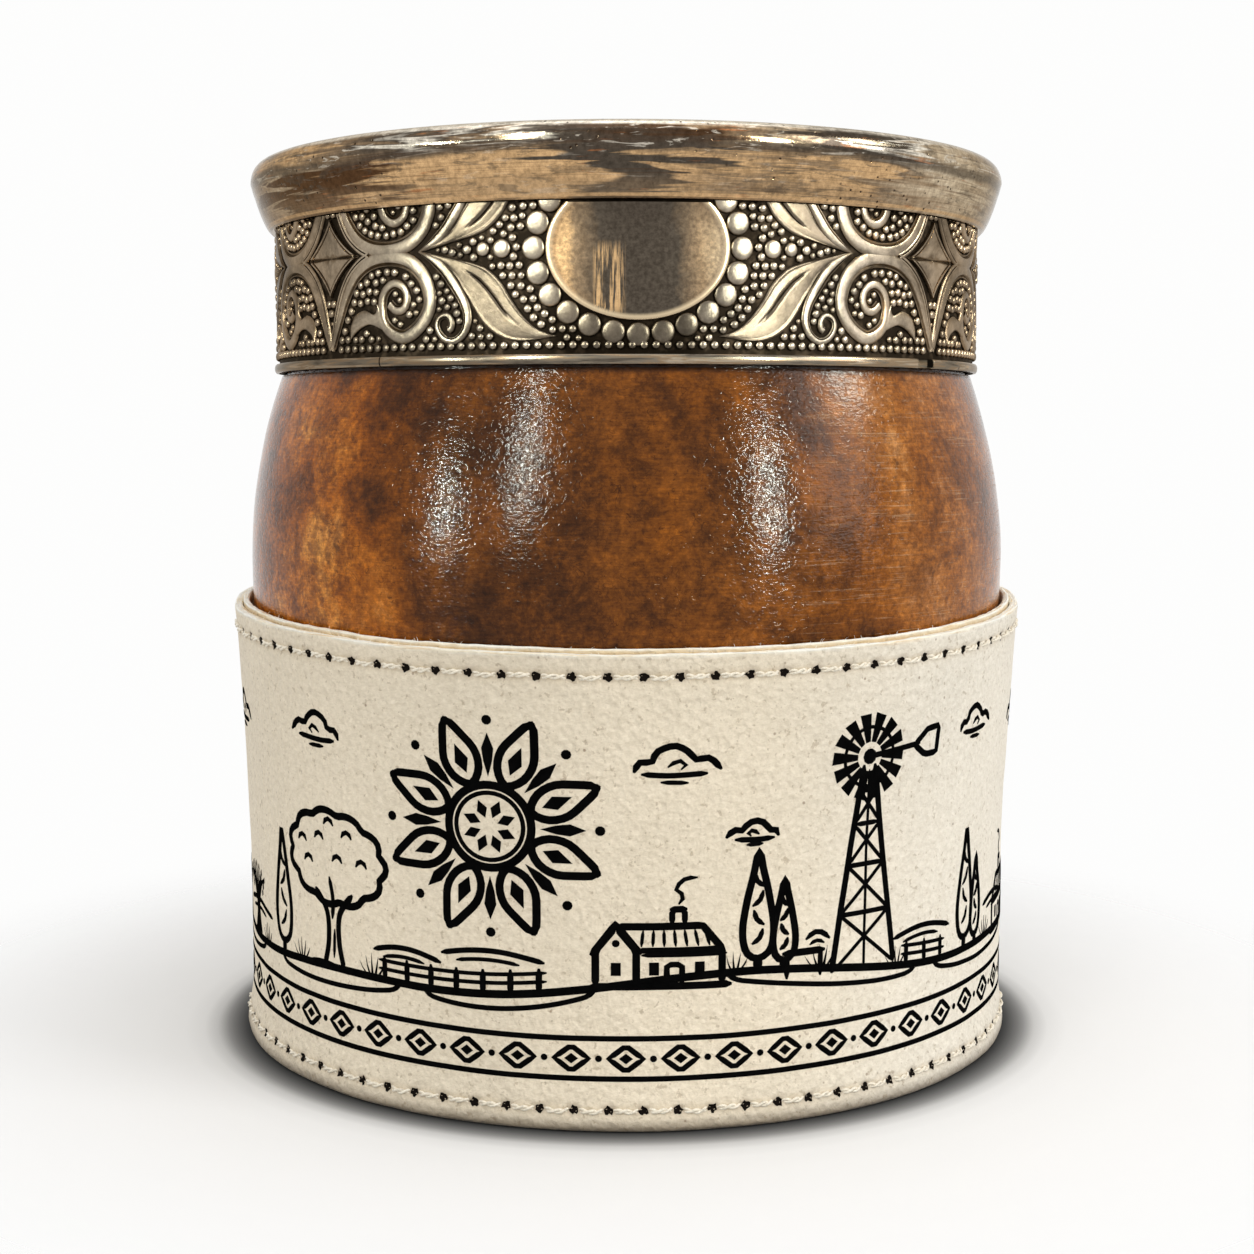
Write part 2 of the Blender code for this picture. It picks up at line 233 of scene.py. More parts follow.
def bell(distance, width):
    """A bell curve: exp(-d^2), d the distance over the width."""
    return np.exp(-((distance / width) ** 2))


def pairs(first, second):
    """Two rows of numbers as points; a single number serves every point."""
    return np.stack(np.broadcast_arrays(first, second), axis=-1)


def ellipse(turn, half_width=1.0, half_height=1.0):
    """Points of an ellipse at the given angles."""
    return pairs(np.cos(turn) * half_width, np.sin(turn) * half_height)


def around(radius, angle, z):
    """Points at polar angles, radii and heights."""
    radius, angle, z = np.broadcast_arrays(radius, angle, z)
    return np.stack([radius * np.cos(angle), radius * np.sin(angle), z], axis=-1)


def run_length(path):
    """Length along the polyline at each of its points."""
    return np.concatenate([[0], np.cumsum(np.linalg.norm(np.diff(path, axis=0), axis=1))])


def even_path(curve, count):
    """The polyline's points moved along it until they are evenly spaced."""
    curve = np.asarray(curve, float)
    run = run_length(curve)
    even = np.linspace(0, run[-1], count)
    return np.stack([np.interp(even, run, curve[:, k]) for k in range(curve.shape[1])], axis=1)


def smooth_path(points, count, closed=False):
    """A Catmull-Rom curve through the points, resampled so that its points are evenly spaced."""
    points = np.asarray(points, float)
    if closed:
        padded = np.concatenate([points[-1:], points, points[:2]])
    else:
        first, last = 2 * points[:1] - points[1:2], 2 * points[-1:] - points[-2:-1]
        padded = np.concatenate([first, points, last])
    a, b, c, d = (padded[k : len(padded) - 3 + k, None, :] for k in range(4))
    t = np.linspace(0, 1, 10, endpoint=False)[None, :, None]
    bend = 2 * b + (c - a) * t + (2 * a - 5 * b + 4 * c - d) * t**2 + (3 * b - a - 3 * c + d) * t**3
    curve = np.concatenate([bend.reshape(-1, points.shape[1]) / 2, c[-1]])
    return even_path(curve, count)


def left_of(along):
    """Unit vectors on the left of flat directions."""
    along = along / np.maximum(np.linalg.norm(along, axis=1, keepdims=True), 1e-9)
    return pairs(-along[:, 1], along[:, 0])


def lattice_noise(u, v, cells_u, cells_v, seed):
    """Smooth heights from -1 to 1.

    Random numbers on a lattice, blended by the eased step 3t^2 - 2t^3 in both directions. u
    counts whole turns and closes on itself; v runs from 0 to 1.
    """
    lattice = np.random.default_rng(seed).uniform(-1, 1, (cells_u, cells_v + 2))
    u, v = np.broadcast_arrays(np.mod(u, 1) * cells_u, held(v) * cells_v)
    i, j = np.floor(u).astype(int), np.floor(v).astype(int)
    s, t = (f * f * (3 - 2 * f) for f in (u - i, v - j))
    near, far = i % cells_u, (i + 1) % cells_u
    low = lattice[near, j] * (1 - s) + lattice[far, j] * s
    high = lattice[near, j + 1] * (1 - s) + lattice[far, j + 1] * s
    return low * (1 - t) + high * t


def uneven(turns, rise, layers, scale=1.0):
    """A sum of lattice noises, one for each layer, times the scale."""
    return sum(scale * height * lattice_noise(turns, rise, *cells) for height, *cells in layers)


# Meshes


def grid_quads(rows, columns, loop=False):
    """Quads of a grid whose columns close on themselves, as its rows do in a loop.

    Point (i, j) has the number i times columns plus j.
    """
    i, j = np.meshgrid(np.arange(rows if loop else rows - 1), np.arange(columns), indexing="ij")
    below, beside = (i + 1) % rows, (j + 1) % columns
    corners = [i * columns + j, i * columns + beside, below * columns + beside, below * columns + j]
    return np.stack(corners, axis=-1).reshape(-1, 4)


def lidded(rows, columns, lids=2):
    """Faces of a closed form: its grid's quads, with a lid on the first row, or on both end rows."""
    ends = [np.arange(columns), np.arange(columns) + (rows - 1) * columns]
    return grid_quads(rows, columns), ends[:lids]


def turned(profile, columns, wobble=None):
    """A closed profile of (radius, height) points carried once round the axis.

    The point (i, j) is profile point i at the angle of column j. A wobble changes the radii and
    heights.
    """
    profile = np.asarray(profile, float)
    angle = (FRONT + full_turn(columns))[None, :]
    radius, height = (np.repeat(profile[:, k : k + 1], columns, axis=1) for k in (0, 1))
    if wobble is not None:
        radius, height = wobble(radius, height, angle)
    return around(radius, angle, height), grid_quads(len(profile), columns, loop=profile[0, 0] > 0)


class Gathering:
    """Points, faces and point values of several closed forms that become one mesh."""

    def __init__(self):
        self.points, self.faces, self.values, self.count = [], [], {}, 0

    def add(self, points, faces, lids=(), **values):
        points = np.asarray(points, float).reshape(-1, 3)
        self.faces += (np.asarray(faces) + self.count).tolist()
        self.faces += [(np.asarray(lid) + self.count).tolist() for lid in lids]
        for name, value in values.items():
            self.values.setdefault(name, []).append(np.broadcast_to(value, len(points)))
        self.points.append(points)
        self.count += len(points)

    def add_copies(self, forms, quads, lids=(), tips=None, **values):
        """Adds an array of like forms, shaped (forms, points, 3), that share their faces."""
        number, size = forms.shape[:2]
        starts = np.arange(number)[:, None, None] * size + self.count

        def spread(faces):
            return (np.asarray(faces) + starts).reshape(-1, np.shape(faces)[-1]).tolist()

        self.faces += spread(quads)
        for lid in lids:
            self.faces += spread([lid])
        if tips is not None:
            self.faces += spread(tips)
        values = {name: np.repeat(value, size) for name, value in values.items()}
        self.add(forms, np.empty((0, 4), int), **values)


def add_piece(name, gathered, finish, replaced=(), crease=38, cuts=()):
    """Makes the gathered forms one object that rides with the cup.

    A cut is a point and a direction: what lies beyond that plane is sliced off and closed.
    """
    mesh = bpy.data.meshes.new(name)
    mesh.from_pydata((np.concatenate(gathered.points) * MM).tolist(), [], gathered.faces)
    for field, blocks in gathered.values.items():
        layer = mesh.attributes.new(field, "FLOAT", "POINT")
        layer.data.foreach_set("value", np.concatenate(blocks).astype(np.float32))
    shape = bmesh.new()
    shape.from_mesh(mesh)
    bmesh.ops.remove_doubles(shape, verts=shape.verts, dist=WELD)
    for place, direction in cuts:
        everything = shape.verts[:] + shape.edges[:] + shape.faces[:]
        bmesh.ops.bisect_plane(
            shape, geom=everything, plane_co=Vector(place) * MM, plane_no=direction, clear_outer=True
        )
        bmesh.ops.holes_fill(shape, edges=[e for e in shape.edges if e.is_boundary], sides=0)
    bmesh.ops.recalc_face_normals(shape, faces=shape.faces)
    shape.to_mesh(mesh)
    shape.free()
    mesh.shade_smooth()
    mesh.set_sharp_from_angle(angle=math.radians(crease))
    mesh.materials.append(finish)
    piece = link_object(name, mesh)
    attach(piece, BODY)
    if replaced:
        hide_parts(*replaced)


def link_object(name, data):
    """A new object in the scene."""
    made = bpy.data.objects.new(name, data)
    bpy.context.scene.collection.objects.link(made)
    return made


# Finishes


class Value:
    """What a shader node gives. Arithmetic with it adds Math nodes."""

    def __init__(self, nodes, socket):
        self.nodes, self.socket = nodes, socket

    def __add__(self, other):
        return self.nodes.math("ADD", self, other)

    def __sub__(self, other):
        return self.nodes.math("SUBTRACT", self, other)

    def __rsub__(self, other):
        return self.nodes.math("SUBTRACT", other, self)

    def __mul__(self, other):
        return self.nodes.math("MULTIPLY", self, other)

    def __abs__(self):
        return self.nodes.math("ABSOLUTE", self)

    def held(self):
        """The same result, held between 0 and 1."""
        self.socket.node.use_clamp = True
        return self

    def span(self, low, high, start=0.0, end=1.0):
        """Maps low..high to start..end, eased and held at both ends."""
        inputs = {"Value": self, "From Min": low, "From Max": high, "To Min": start, "To Max": end}
        return self.nodes.value("MapRange", inputs, interpolation_type="SMOOTHSTEP")

    def ramp(self, *stops):
        """Colours, or grey levels, at positions from 0 to 1."""
        made = self.nodes.node("ValToRGB", {"Fac": self})
        elements = made.color_ramp.elements
        while len(elements) < len(stops):
            elements.new(1.0)
        for element, (position, colour) in zip(elements, stops):
            element.position, element.color = position, opaque(colour)
        return Value(self.nodes, made.outputs["Color"])


def opaque(colour):
    """Four channels of a colour or a grey level."""
    return [*np.broadcast_to(colour, 3).tolist(), 1.0]


class Nodes:
    """A shader tree in the making."""

    def __init__(self, tree):
        self.tree = tree

    def node(self, kind, inputs=None, **settings):
        made = self.tree.nodes.new("ShaderNode" + kind)
        for name, value in settings.items():
            setattr(made, name, value)
        for key, value in (inputs or {}).items():
            self.feed(made.inputs[key], value)
        return made

    def value(self, kind, inputs=None, output=0, **settings):
        return Value(self, self.node(kind, inputs, **settings).outputs[output])

    def feed(self, socket, value):
        if isinstance(value, Value):
            self.tree.links.new(value.socket, socket)
        elif isinstance(value, bpy.types.NodeSocket):
            self.tree.links.new(value, socket)
        else:
            socket.default_value = opaque(value) if socket.type == "RGBA" else value

    def math(self, operation, *numbers):
        return self.value("Math", dict(enumerate(numbers)), operation=operation)


class Finish(Nodes):
    """One material. Most methods add a shader node and give its result as a Value."""

    def __init__(self, name):
        self.material = bpy.data.materials.new(name)
        self.material.use_nodes = True
        super().__init__(self.material.node_tree)
        self.shader = self.tree.nodes["Principled BSDF"]
        self.place = self.value("TexCoord", output="Object")
        split = self.node("SeparateXYZ", {"Vector": self.place})
        self.x, self.y, self.z = (Value(self, socket) for socket in split.outputs)
        self.radius = self.length(self.stretched((1, 1, 0)))

    def length(self, vector):
        return self.value("VectorMath", {0: vector}, "Value", operation="LENGTH")

    def vector(self, x, y, z):
        return self.value("CombineXYZ", {"X": x, "Y": y, "Z": z})

    def stretched(self, scale, shift=(0, 0, 0)):
        return self.value("Mapping", {"Vector": self.place, "Scale": scale, "Location": shift})

    def noise(self, scale, detail=4.0, roughness=0.55, distortion=0.0, vector=None):
        """Noise of one scale, or of a scale for each axis."""
        if isinstance(scale, tuple):
            scale, vector = 1.0, self.stretched(scale)
        inputs = {
            "Vector": vector or self.place,
            "Scale": scale,
            "Detail": detail,
            "Roughness": roughness,
            "Distortion": distortion,
        }
        return self.value("TexNoise", inputs, "Fac")

    def streaks(self, along, across, up=None, **settings):
        """Noise that is slow round the cup and quick across the metal; up is the way across in mm."""
        vector = self.vector(self.x * along, self.y * along, (up or self.z * 1000.0) * across)
        return self.noise(1.0, vector=vector, **settings)

    def warped(self, share, scale):
        """The place, pushed about by a share of a coloured noise."""
        push = self.value("TexNoise", {"Vector": self.place, "Scale": scale}, "Color")
        return self.mix(share, self.place, push)

    def cells(self, scale, vector=None, **settings):
        inputs = {"Vector": vector or self.place, "Scale": scale}
        return self.value("TexVoronoi", inputs, "Distance", **settings)

    def field(self, name):
        return self.value("Attribute", output="Fac", attribute_name=name)

    def mix(self, share, first, second, blend="MIX"):
        return self.value("Mix", {0: share, 6: first, 7: second}, 2, data_type="RGBA", blend_type=blend)

    def times(self, share, colour, tone):
        """The colour, multiplied by the tone to a share."""
        return self.mix(share, colour, tone, "MULTIPLY")

    def tint(self, share, colour, tone):
        """A share of the multiplied colour over the colour itself."""
        return self.mix(share, colour, self.times(1.0, colour, tone))

    def bump(self, height, distance):
        return self.value("Bump", {"Height": height, "Distance": distance * MM, "Strength": 1.0})

    def done(self, **sockets):
        for name, value in sockets.items():
            self.feed(self.shader.inputs[name.replace("_", " ")], value)
        return self.material

    def metal(self, colour, roughness, relief, depth):
        return self.done(
            Base_Color=colour, Metallic=1.0, Roughness=roughness, Specular_Tint=EDGE_TINT,
            Normal=self.bump(relief, depth),
        )

    def pitted(self, colour, scale, low, high):
        """Scatters small dark pits where a slow noise allows them; returns the colour and the pits."""
        pits = (1.0 - self.cells(scale).span(0.09, 0.17)) * self.noise(60, 2.0).span(low, high)
        return self.mix(pits, colour, screen(52, 38, 27)), pits


def gourd_finish(light, dark):
    """Mottled calabash under a thin varnish, whose orange peel breaks the highlights up; bare inside."""
    f = Finish("gourd_varnish")
    deep = scaled(dark, 0.5)
    between = [(a + b) / 2 for a, b in zip(dark, light)]
    wander = (f.noise(34, 3.0, distortion=0.8) - 0.5) * f.y.span(-0.02, 0.0, 0.5, 1.5)
    # Tone bands across x, lighter on each side of the front view: partly the gourd's own tone, partly painted
    # light.
    across = (f.x * 11.0 + 0.5 + wander).ramp(
        (0.04, 0.46), (0.12, 0.66), (0.2, 0.62), (0.27, 0.4), (0.4, 0.43), (0.5, 0.5), (0.6, 0.5),
        (0.68, 0.46), (0.76, 0.62), (0.87, 0.7), (0.97, 0.46),
    )
    broad = f.noise(46, 4.0, 0.55, 0.9)
    mid = f.noise(170, 12.0, 0.78, 0.3)
    colour = (across + (broad * 0.54 + mid * 0.84 - 0.652)).ramp(
        (0.28, deep), (0.4, dark), (0.5, between), (0.6, light), (0.72, screen(160, 98, 36)),
        (0.88, screen(196, 140, 84)),
    )

    # Stains of several kinds, each where its own noise allows it, and painted light on the front left
    cool = f.noise(58, 6.0, 0.6, 1.0, f.stretched((1, 1, 1), (0.4, 0, 0))).span(0.46, 0.56)
    colour = f.tint(cool * 0.42, colour, (0.88, 0.95, 1.7))
    shade = f.noise(90, 6.0, 0.62, 1.6).span(0.55, 0.63)
    colour = f.tint(shade * 0.4, colour, (0.56, 0.54, 0.6))
    # Painted light: the front left warmed and brightened, as where light falls.
    painted_light_left = f.x.span(-0.016, -0.026) * f.y.span(0.0, -0.01)
    colour = f.tint(painted_light_left * 0.8, colour, (1.26, 1.1, 0.5))
    sides = f.math("MAXIMUM", f.x.span(-0.023, -0.03), f.x.span(0.02, 0.03) * 0.4)
    fuzz = f.noise(400, 10.0, 0.74, 0.25).span(0.47, 0.55) * sides
    colour = f.tint(fuzz * 0.75, colour, (0.44, 0.4, 0.4))
    ring = f.cells(46, f.warped(0.22, 160.0))
    outline = f.math("COMPARE", ring, 0.34, 0.012) * f.noise(30, 1.0).span(0.5, 0.58)
    colour = f.mix(outline * 0.65, colour, deep)
    spots = f.noise(420, 3.0).span(0.67, 0.75)
    colour = f.mix(spots * 0.6, colour, deep)

    # Fine grain, rings of growth, scratches and scuffs, and a painted shadow under the edge wire
    fine = f.noise(1500, 4.0, 0.75)
    colour = f.times(0.65, colour, fine.ramp((0.3, (0.44, 0.4, 0.36)), (0.72, (1.7, 1.7, 1.6))))
    grit = f.noise((900, 900, 1250), 6.0, 0.8, 0.5)
    grit = grit.ramp((0.38, (0.6, 0.56, 0.52)), (0.5, 1.0), (0.62, (1.42, 1.42, 1.4)))
    colour = f.times(0.7, colour, grit)
    weave = f.noise((420, 420, 5200), 3.0, 0.6)
    colour = f.times(0.5, colour, weave.ramp((0.34, (0.66, 0.64, 0.62)), (0.66, (1.32, 1.32, 1.28))))
    scratched = f.noise((130, 130, 6500), 2.0, 0.5).span(0.6, 0.68)
    scratch = scratched * (f.x.span(0.012, 0.024) * mid.span(0.42, 0.6))
    colour = f.mix(scratch * 0.3, colour, screen(226, 186, 138))
    scuff = f.noise((1100, 1100, 2400), 2.0, distortion=1.5).span(0.69, 0.73)
    scuff = scuff * f.noise(110, 1.0).span(0.58, 0.64)
    colour = f.mix(scuff * 0.7, colour, screen(224, 190, 150))
    # Painted shadow: a dark band on the gourd just below the edge wire.
    shadow_under_wire = f.z.span((BAND_BOTTOM - 1.0) * MM, (BAND_BOTTOM - 0.35) * MM)
    colour = f.mix(shadow_under_wire * 0.8, colour, screen(34, 20, 12))

    inside = f.field("inside")
    raw = f.noise(220, 5.0).ramp((0.35, screen(140, 104, 66)), (0.7, screen(186, 152, 108)))
    colour = f.mix(inside, colour, raw)
    roughness = (mid * 0.12 + scratch * 0.1 + 0.02 + inside * 0.6).held()
    peel = f.noise((1750, 1750, 2500), 2.0, 0.45, 0.9)
    ripple = f.noise((800, 800, 4200), 2.0, 0.5)
    relief = f.bump(peel * 1.1 + (ripple * 0.6 + scratch * 0.4), 0.046)
    return f.done(Base_Color=colour, Roughness=roughness, Normal=relief, Specular_IOR_Level=0.14)


# Tones of worn nickel silver, also used for its painted reflections and highlights
UMBER = screen(80, 56, 36)
SLATE = screen(78, 70, 61)
BRONZE = screen(140, 117, 91)
DRAB = screen(172, 152, 125)
TAN = screen(202, 165, 120)
PALE = screen(204, 186, 158)
CREAM = screen(236, 227, 210)
EDGE_TINT = screen(212, 206, 198)


def chased_finish(bright, dark):
    """Nickel silver with polished tops and a black-brown patina that fills the hollows, with painted
    reflections and painted shade over its front.
    """
    f = Finish("chased_metal")
    smear = (f.noise(420, 5.0, 0.65) - 0.5) * 0.2
    rise = (f.radius - BAND_OUTER * MM) * 1000.0 + smear
    worn = rise.span(0.05, 0.15)
    top = f.noise(110, 6.0, 0.66, 0.6).ramp(
        (0.35, scaled(bright, 0.36)), (0.46, scaled(bright, 0.62)), (0.54, bright),
        (0.64, scaled(bright, 1.12)), (0.76, TAN),
    )
    # Painted reflection: warmer tan towards both sides of the front view.
    top = f.tint(abs(f.x).span(0.021, 0.036) * 0.55, top, (1.0, 0.8, 0.6))
    # Painted shade: the leaves are a darker copy of the same metal.
    top = f.tint(f.field("leaf") * 0.85, top, (0.6, 0.6, 0.62))
    # Painted shade: the front left of the band darker.
    left = f.x.span(-0.008, -0.02) * f.y.span(0.0, -0.01)
    top = f.tint(left * 0.5, top, (0.62, 0.6, 0.57))
    grain = f.noise(2600, 4.0, 0.75).ramp((0.34, (0.6, 0.58, 0.56)), (0.66, 1.3))
    top = f.times(0.45, top, grain)
    low = f.times(1.0, top, (0.62, 0.58, 0.53))
    ground = f.mix(f.noise(800, 3.0).span(0.5, 0.66), dark, scaled(dark, 3))
    colour = f.mix(rise.span(0.25, 0.35), f.mix(worn, ground, low), top)
    # Painted reflection: the middle of the front darkened, where the dark camera would be mirrored.
    facing = abs(f.x).span(0.0085, 0.0055) * f.y.span(0.0, -0.02, 0.0, 0.9)
    colour = f.tint(facing, colour, (0.42, 0.4, 0.38))
    relief = f.noise(1500, 6.0, 0.75) * 0.5 + f.noise(330, 2.0)
    return f.metal(colour, worn.span(0.0, 1.0, 0.6, 0.28), relief, 0.06)


def rim_finish():
    """Worn nickel silver whose tarnish lies in long streaks, one set on the crest and one on the skirt, under
    painted reflections and highlights.
    """
    f = Finish("worn_rim")
    run = f.field("run")
    streak = f.streaks(60.0, 0.9, run, detail=3.0, roughness=0.5, distortion=1.1)
    ragged = (streak - 0.5) * f.y.span(-0.024, 0.0, 0.42, 1.4)
    side = f.x * 11.5 + 0.5 + ragged
    # Tones across the front view are painted reflections: dark in the middle, tan and pale to the sides; the
    # cream stops on the crest are painted highlights.
    skirt = side.ramp(
        (0.02, BRONZE), (0.06, DRAB), (0.09, UMBER), (0.22, UMBER), (0.27, TAN), (0.42, TAN), (0.45, SLATE),
        (0.56, SLATE), (0.59, TAN), (0.66, BRONZE), (0.69, TAN), (0.77, TAN), (0.8, BRONZE), (0.9, PALE),
        (0.97, DRAB),
    )
    crest = side.ramp(
        (0.03, BRONZE), (0.08, TAN), (0.13, TAN), (0.17, BRONZE), (0.24, SLATE), (0.275, CREAM),
        (0.31, SLATE), (0.345, BRONZE), (0.365, CREAM), (0.39, SLATE), (0.58, UMBER), (0.62, BRONZE),
        (0.68, DRAB), (0.71, SLATE), (0.81, SLATE), (0.835, CREAM), (0.86, DRAB), (0.93, PALE), (0.97, DRAB),
    )
    level = run + (f.streaks(38.0, 0.0, detail=5.0, roughness=0.6) - 0.5) * 2.6
    # Painted reflection: the lower skirt lighter, towards bronze.
    skirt = f.mix(level.span(3.0, 1.2) * 0.4, skirt, BRONZE)
    colour = f.mix(level.span(4.5, 5.4), skirt, crest)
    # Painted shade: a dark band just beneath the crest.
    colour = f.mix(level.span(4.3, 4.9) * level.span(6.0, 5.2) * 0.75, colour, SLATE)
    # Painted highlight: a bright line along the top of the crest.
    colour = f.mix((run + ragged * 2.0).span(7.15, 7.6) * 0.9, colour, CREAM)
    rings = f.streaks(34.0, 2.6, run, detail=6.0, roughness=0.62, distortion=0.4)
    flat_top = rings.ramp((0.36, SLATE), (0.44, BRONZE), (0.52, DRAB), (0.6, CREAM))
    colour = f.mix(run.span(8.3, 9.0) * 0.85, colour, flat_top)

    # Streaks over the tones, the bright ones painted highlights
    dark = f.streaks(250.0, 1.2, run, detail=6.0, roughness=0.62, distortion=0.9).span(0.53, 0.62)
    colour = f.mix(dark * 0.5, colour, SLATE)
    # Painted highlights: bright streaks, strongest on the crest.
    light = f.streaks(210.0, 1.6, run, detail=5.0, roughness=0.6, distortion=1.2).span(0.59, 0.65)
    colour = f.mix(light * level.span(4.2, 5.4, 0.12, 0.5), colour, CREAM)
    hem = run.span(0.2, 0.34) * run.span(0.75, 0.55)
    colour = f.mix(hem * 0.7, colour, TAN)
    rust = f.streaks(150.0, 1.7, run, detail=6.0, roughness=0.65).span(0.62, 0.7)
    colour = f.mix(rust * 0.55, colour, screen(176, 112, 66))
    lines = f.streaks(40.0, 7.5, run, detail=3.0, roughness=0.6, distortion=0.3).span(0.57, 0.62)
    colour = f.mix(lines * 0.35, colour, UMBER)
    mottle = f.noise(1400, 5.0, 0.75)
    patches = mottle.ramp((0.34, (0.42, 0.4, 0.38)), (0.66, 1.4))
    colour = f.times(run.span(7.5, 9.0, 0.6, 0.25), colour, patches)
    colour, pits = f.pitted(colour, 1000, 0.42, 0.52)
    return f.metal(colour, mottle * 0.14 + 0.05, mottle * 0.5 - pits, 0.03)


def plate_finish():
    """The oval plates: painted reflections, dark in the middle and pale at both ends, with a bright rim and
    rubbed streaks.
    """
    f = Finish("worn_plate")
    across, up = f.field("across"), f.field("up")
    ragged = (f.noise(190, 7.0, 0.7, 0.5) - 0.5) * 0.5
    # Painted reflections: slate in the middle of each plate, tan and drab towards its ends.
    colour = ((across + ragged) * 0.5 + 0.5).ramp(
        (0.02, TAN), (0.115, TAN), (0.16, BRONZE), (0.3, SLATE), (0.7, SLATE), (0.84, BRONZE), (0.98, DRAB)
    )
    sand = f.noise(2300, 3.0, 0.7).ramp((0.36, (0.45, 0.42, 0.4)), (0.64, 1.45))
    colour = f.times(0.55, colour, sand)
    colour = f.mix(up.span(0.0, 0.9, 0.0, 0.45), colour, screen(58, 50, 43))
    # Painted reflection: a pale, lined patch like a window on the lower left.
    window_reflection = across.span(-0.5, -0.44) * across.span(-0.12, -0.2)
    window_reflection = window_reflection * (up.span(0.12, -0.1) * up.span(-0.98, -0.8))
    lined = f.noise((3400, 3400, 170), 4.0, 0.7).span(0.42, 0.58)
    colour = f.mix(window_reflection * lined, colour, TAN)
    brushed = f.noise((700, 700, 2400), 6.0, 0.75)
    colour = f.times(0.4, colour, brushed.ramp((0.3, 0.6), (0.7, 1.4)))
    reach = f.length(f.vector(across, up, 0.0))
    colour = f.mix(reach.span(0.9, 0.965) * 0.8, colour, screen(214, 192, 158))
    colour, pits = f.pitted(colour, 480, 0.5, 0.62)
    return f.metal(colour, 0.26, brushed * 0.4 - pits, 0.03)


def plain_metal_finish(name, bright, dark, rough):
    """Worn nickel silver with streaks along its length, painted shade on the front left and a nick painted
    near-black as shade.
    """
    f = Finish(name)
    streak = f.streaks(120.0, 2.0, detail=7.0, roughness=0.66, distortion=0.4)
    colour = streak.ramp(
        (0.34, dark), (0.45, scaled(bright, 0.55)), (0.52, BRONZE), (0.6, bright), (0.68, TAN), (0.76, bright)
    )
    # Painted shade: the front left darker.
    left = f.x.span(0.0, -0.022) * f.y.span(0.0, -0.01)
    colour = f.tint(left * 0.6, colour, (0.5, 0.46, 0.42))
    colour, pits = f.pitted(colour, 520, 0.5, 0.62)
    # Painted shade: the nick in the wire coloured near-black.
    nick = f.field("nick")
    colour = f.mix(nick, colour, screen(16, 13, 10))
    relief = f.noise((200, 200, 5200), 3.0, 0.6) * 0.3 - pits
    return f.metal(colour, (nick * 0.7 + rough).held(), relief, 0.03)


def leather_finish(name, tone, edge_tone, grain):
    """Cream leather with a fine grain and dark specks, and a laminated, fibrous cut edge."""
    f = Finish(name)
    face = f.noise(45, 5.0, 0.6).ramp((0.3, scaled(tone, 0.94)), (0.5, tone), (0.72, scaled(tone, 1.05)))
    # Painted light: the face paler and cooler towards the right.
    face = f.tint(f.x.span(0.01, 0.036, 0.0, 0.75), face, (1.03, 1.1, 1.24))
    tooth = f.noise(1900, 4.0, 0.7).ramp((0.3, (0.86, 0.84, 0.81)), (0.7, (1.1, 1.1, 1.11)))
    face = f.times(0.8, face, tooth)
    hairs = f.noise((1500, 1500, 4600), 3.0, 0.7, 1.2).ramp((0.34, (0.84, 0.81, 0.77)), (0.6, 1.05))
    face = f.times(0.5, face, hairs)
    speck = f.noise(1500, 2.0, 0.6).span(0.61, 0.7)
    face = f.mix(speck * 0.45, face, screen(152, 130, 100))
    # Painted shade and dirt along the stitch furrows.
    face = f.mix(f.field("furrow") * 0.22, face, screen(176, 152, 116))
    # Darker brown round each hole: painted shade in its dimple, and stain from the thread.
    face = f.mix(f.field("dimple") * 0.6, face, screen(112, 82, 54))
    # Darker towards the bottom edge.
    face = f.mix(f.z.span(0.0018, 0.0003, 0.0, 0.7), face, screen(112, 92, 68))
    rare = 1.0 - f.cells(290).span(0.03, 0.06)
    face = f.mix(rare * 0.6, face, screen(122, 92, 60))
    layers = f.noise(1.0, 4.0, 0.65, vector=f.vector(f.radius * 3800.0, f.z * 2500.0, f.x * 160.0))
    edge = layers.ramp((0.32, screen(228, 194, 146)), (0.42, edge_tone), (0.53, screen(255, 254, 244)))
    cut = f.field("cut")
    colour = f.mix(cut, face, edge)
    pore = f.cells(1500 * grain, feature="SMOOTH_F1")
    wrinkle = f.cells(1050 * grain, f.warped(0.0012, 900.0))
    crease = f.noise(520 * grain, 5.0, 0.65, 0.8)
    relief = wrinkle * 0.5 + pore * 0.35 + (crease * 0.65 + layers * (cut * 0.6))
    relief = f.bump(relief, 0.3)
    return f.done(Base_Color=colour, Roughness=0.72, Specular_IOR_Level=0.35, Sheen_Weight=0.1, Normal=relief)


def thread_finish(tone):
    """Natural linen thread with a fine fibre along it."""
    f = Finish("linen_thread")
    fibre = f.noise(2600, 4.0, 0.7)
    colour = fibre.ramp((0.3, scaled(tone, 0.7)), (0.5, tone), (0.75, screen(255, 250, 236)))
    return f.done(Base_Color=colour, Roughness=0.7, Sheen_Weight=0.25, Normal=f.bump(fibre, 0.05))


def matte_finish(name, tone, scale, depth=0.08, spread=0.3, roughness=0.85, gloss=0.5):
    """A plain matte stuff with a mottled tone and a fine tooth."""
    f = Finish(name)
    mottle = f.noise(scale, 6.0, 0.65)
    colour = mottle.ramp((0.3, scaled(tone, 1 - spread)), (0.7, scaled(tone, 1 + spread)))
    relief = f.bump(mottle, depth)
    return f.done(Base_Color=colour, Roughness=roughness, Specular_IOR_Level=gloss, Normal=relief)


# Settings


def size_setting(name, description, default, low, high):
    """A length that the user sets, given in millimetres."""
    return bpy.props.FloatProperty(
        name=name, description=description, default=default * MM, min=low * MM, max=high * MM, unit="LENGTH"
    )


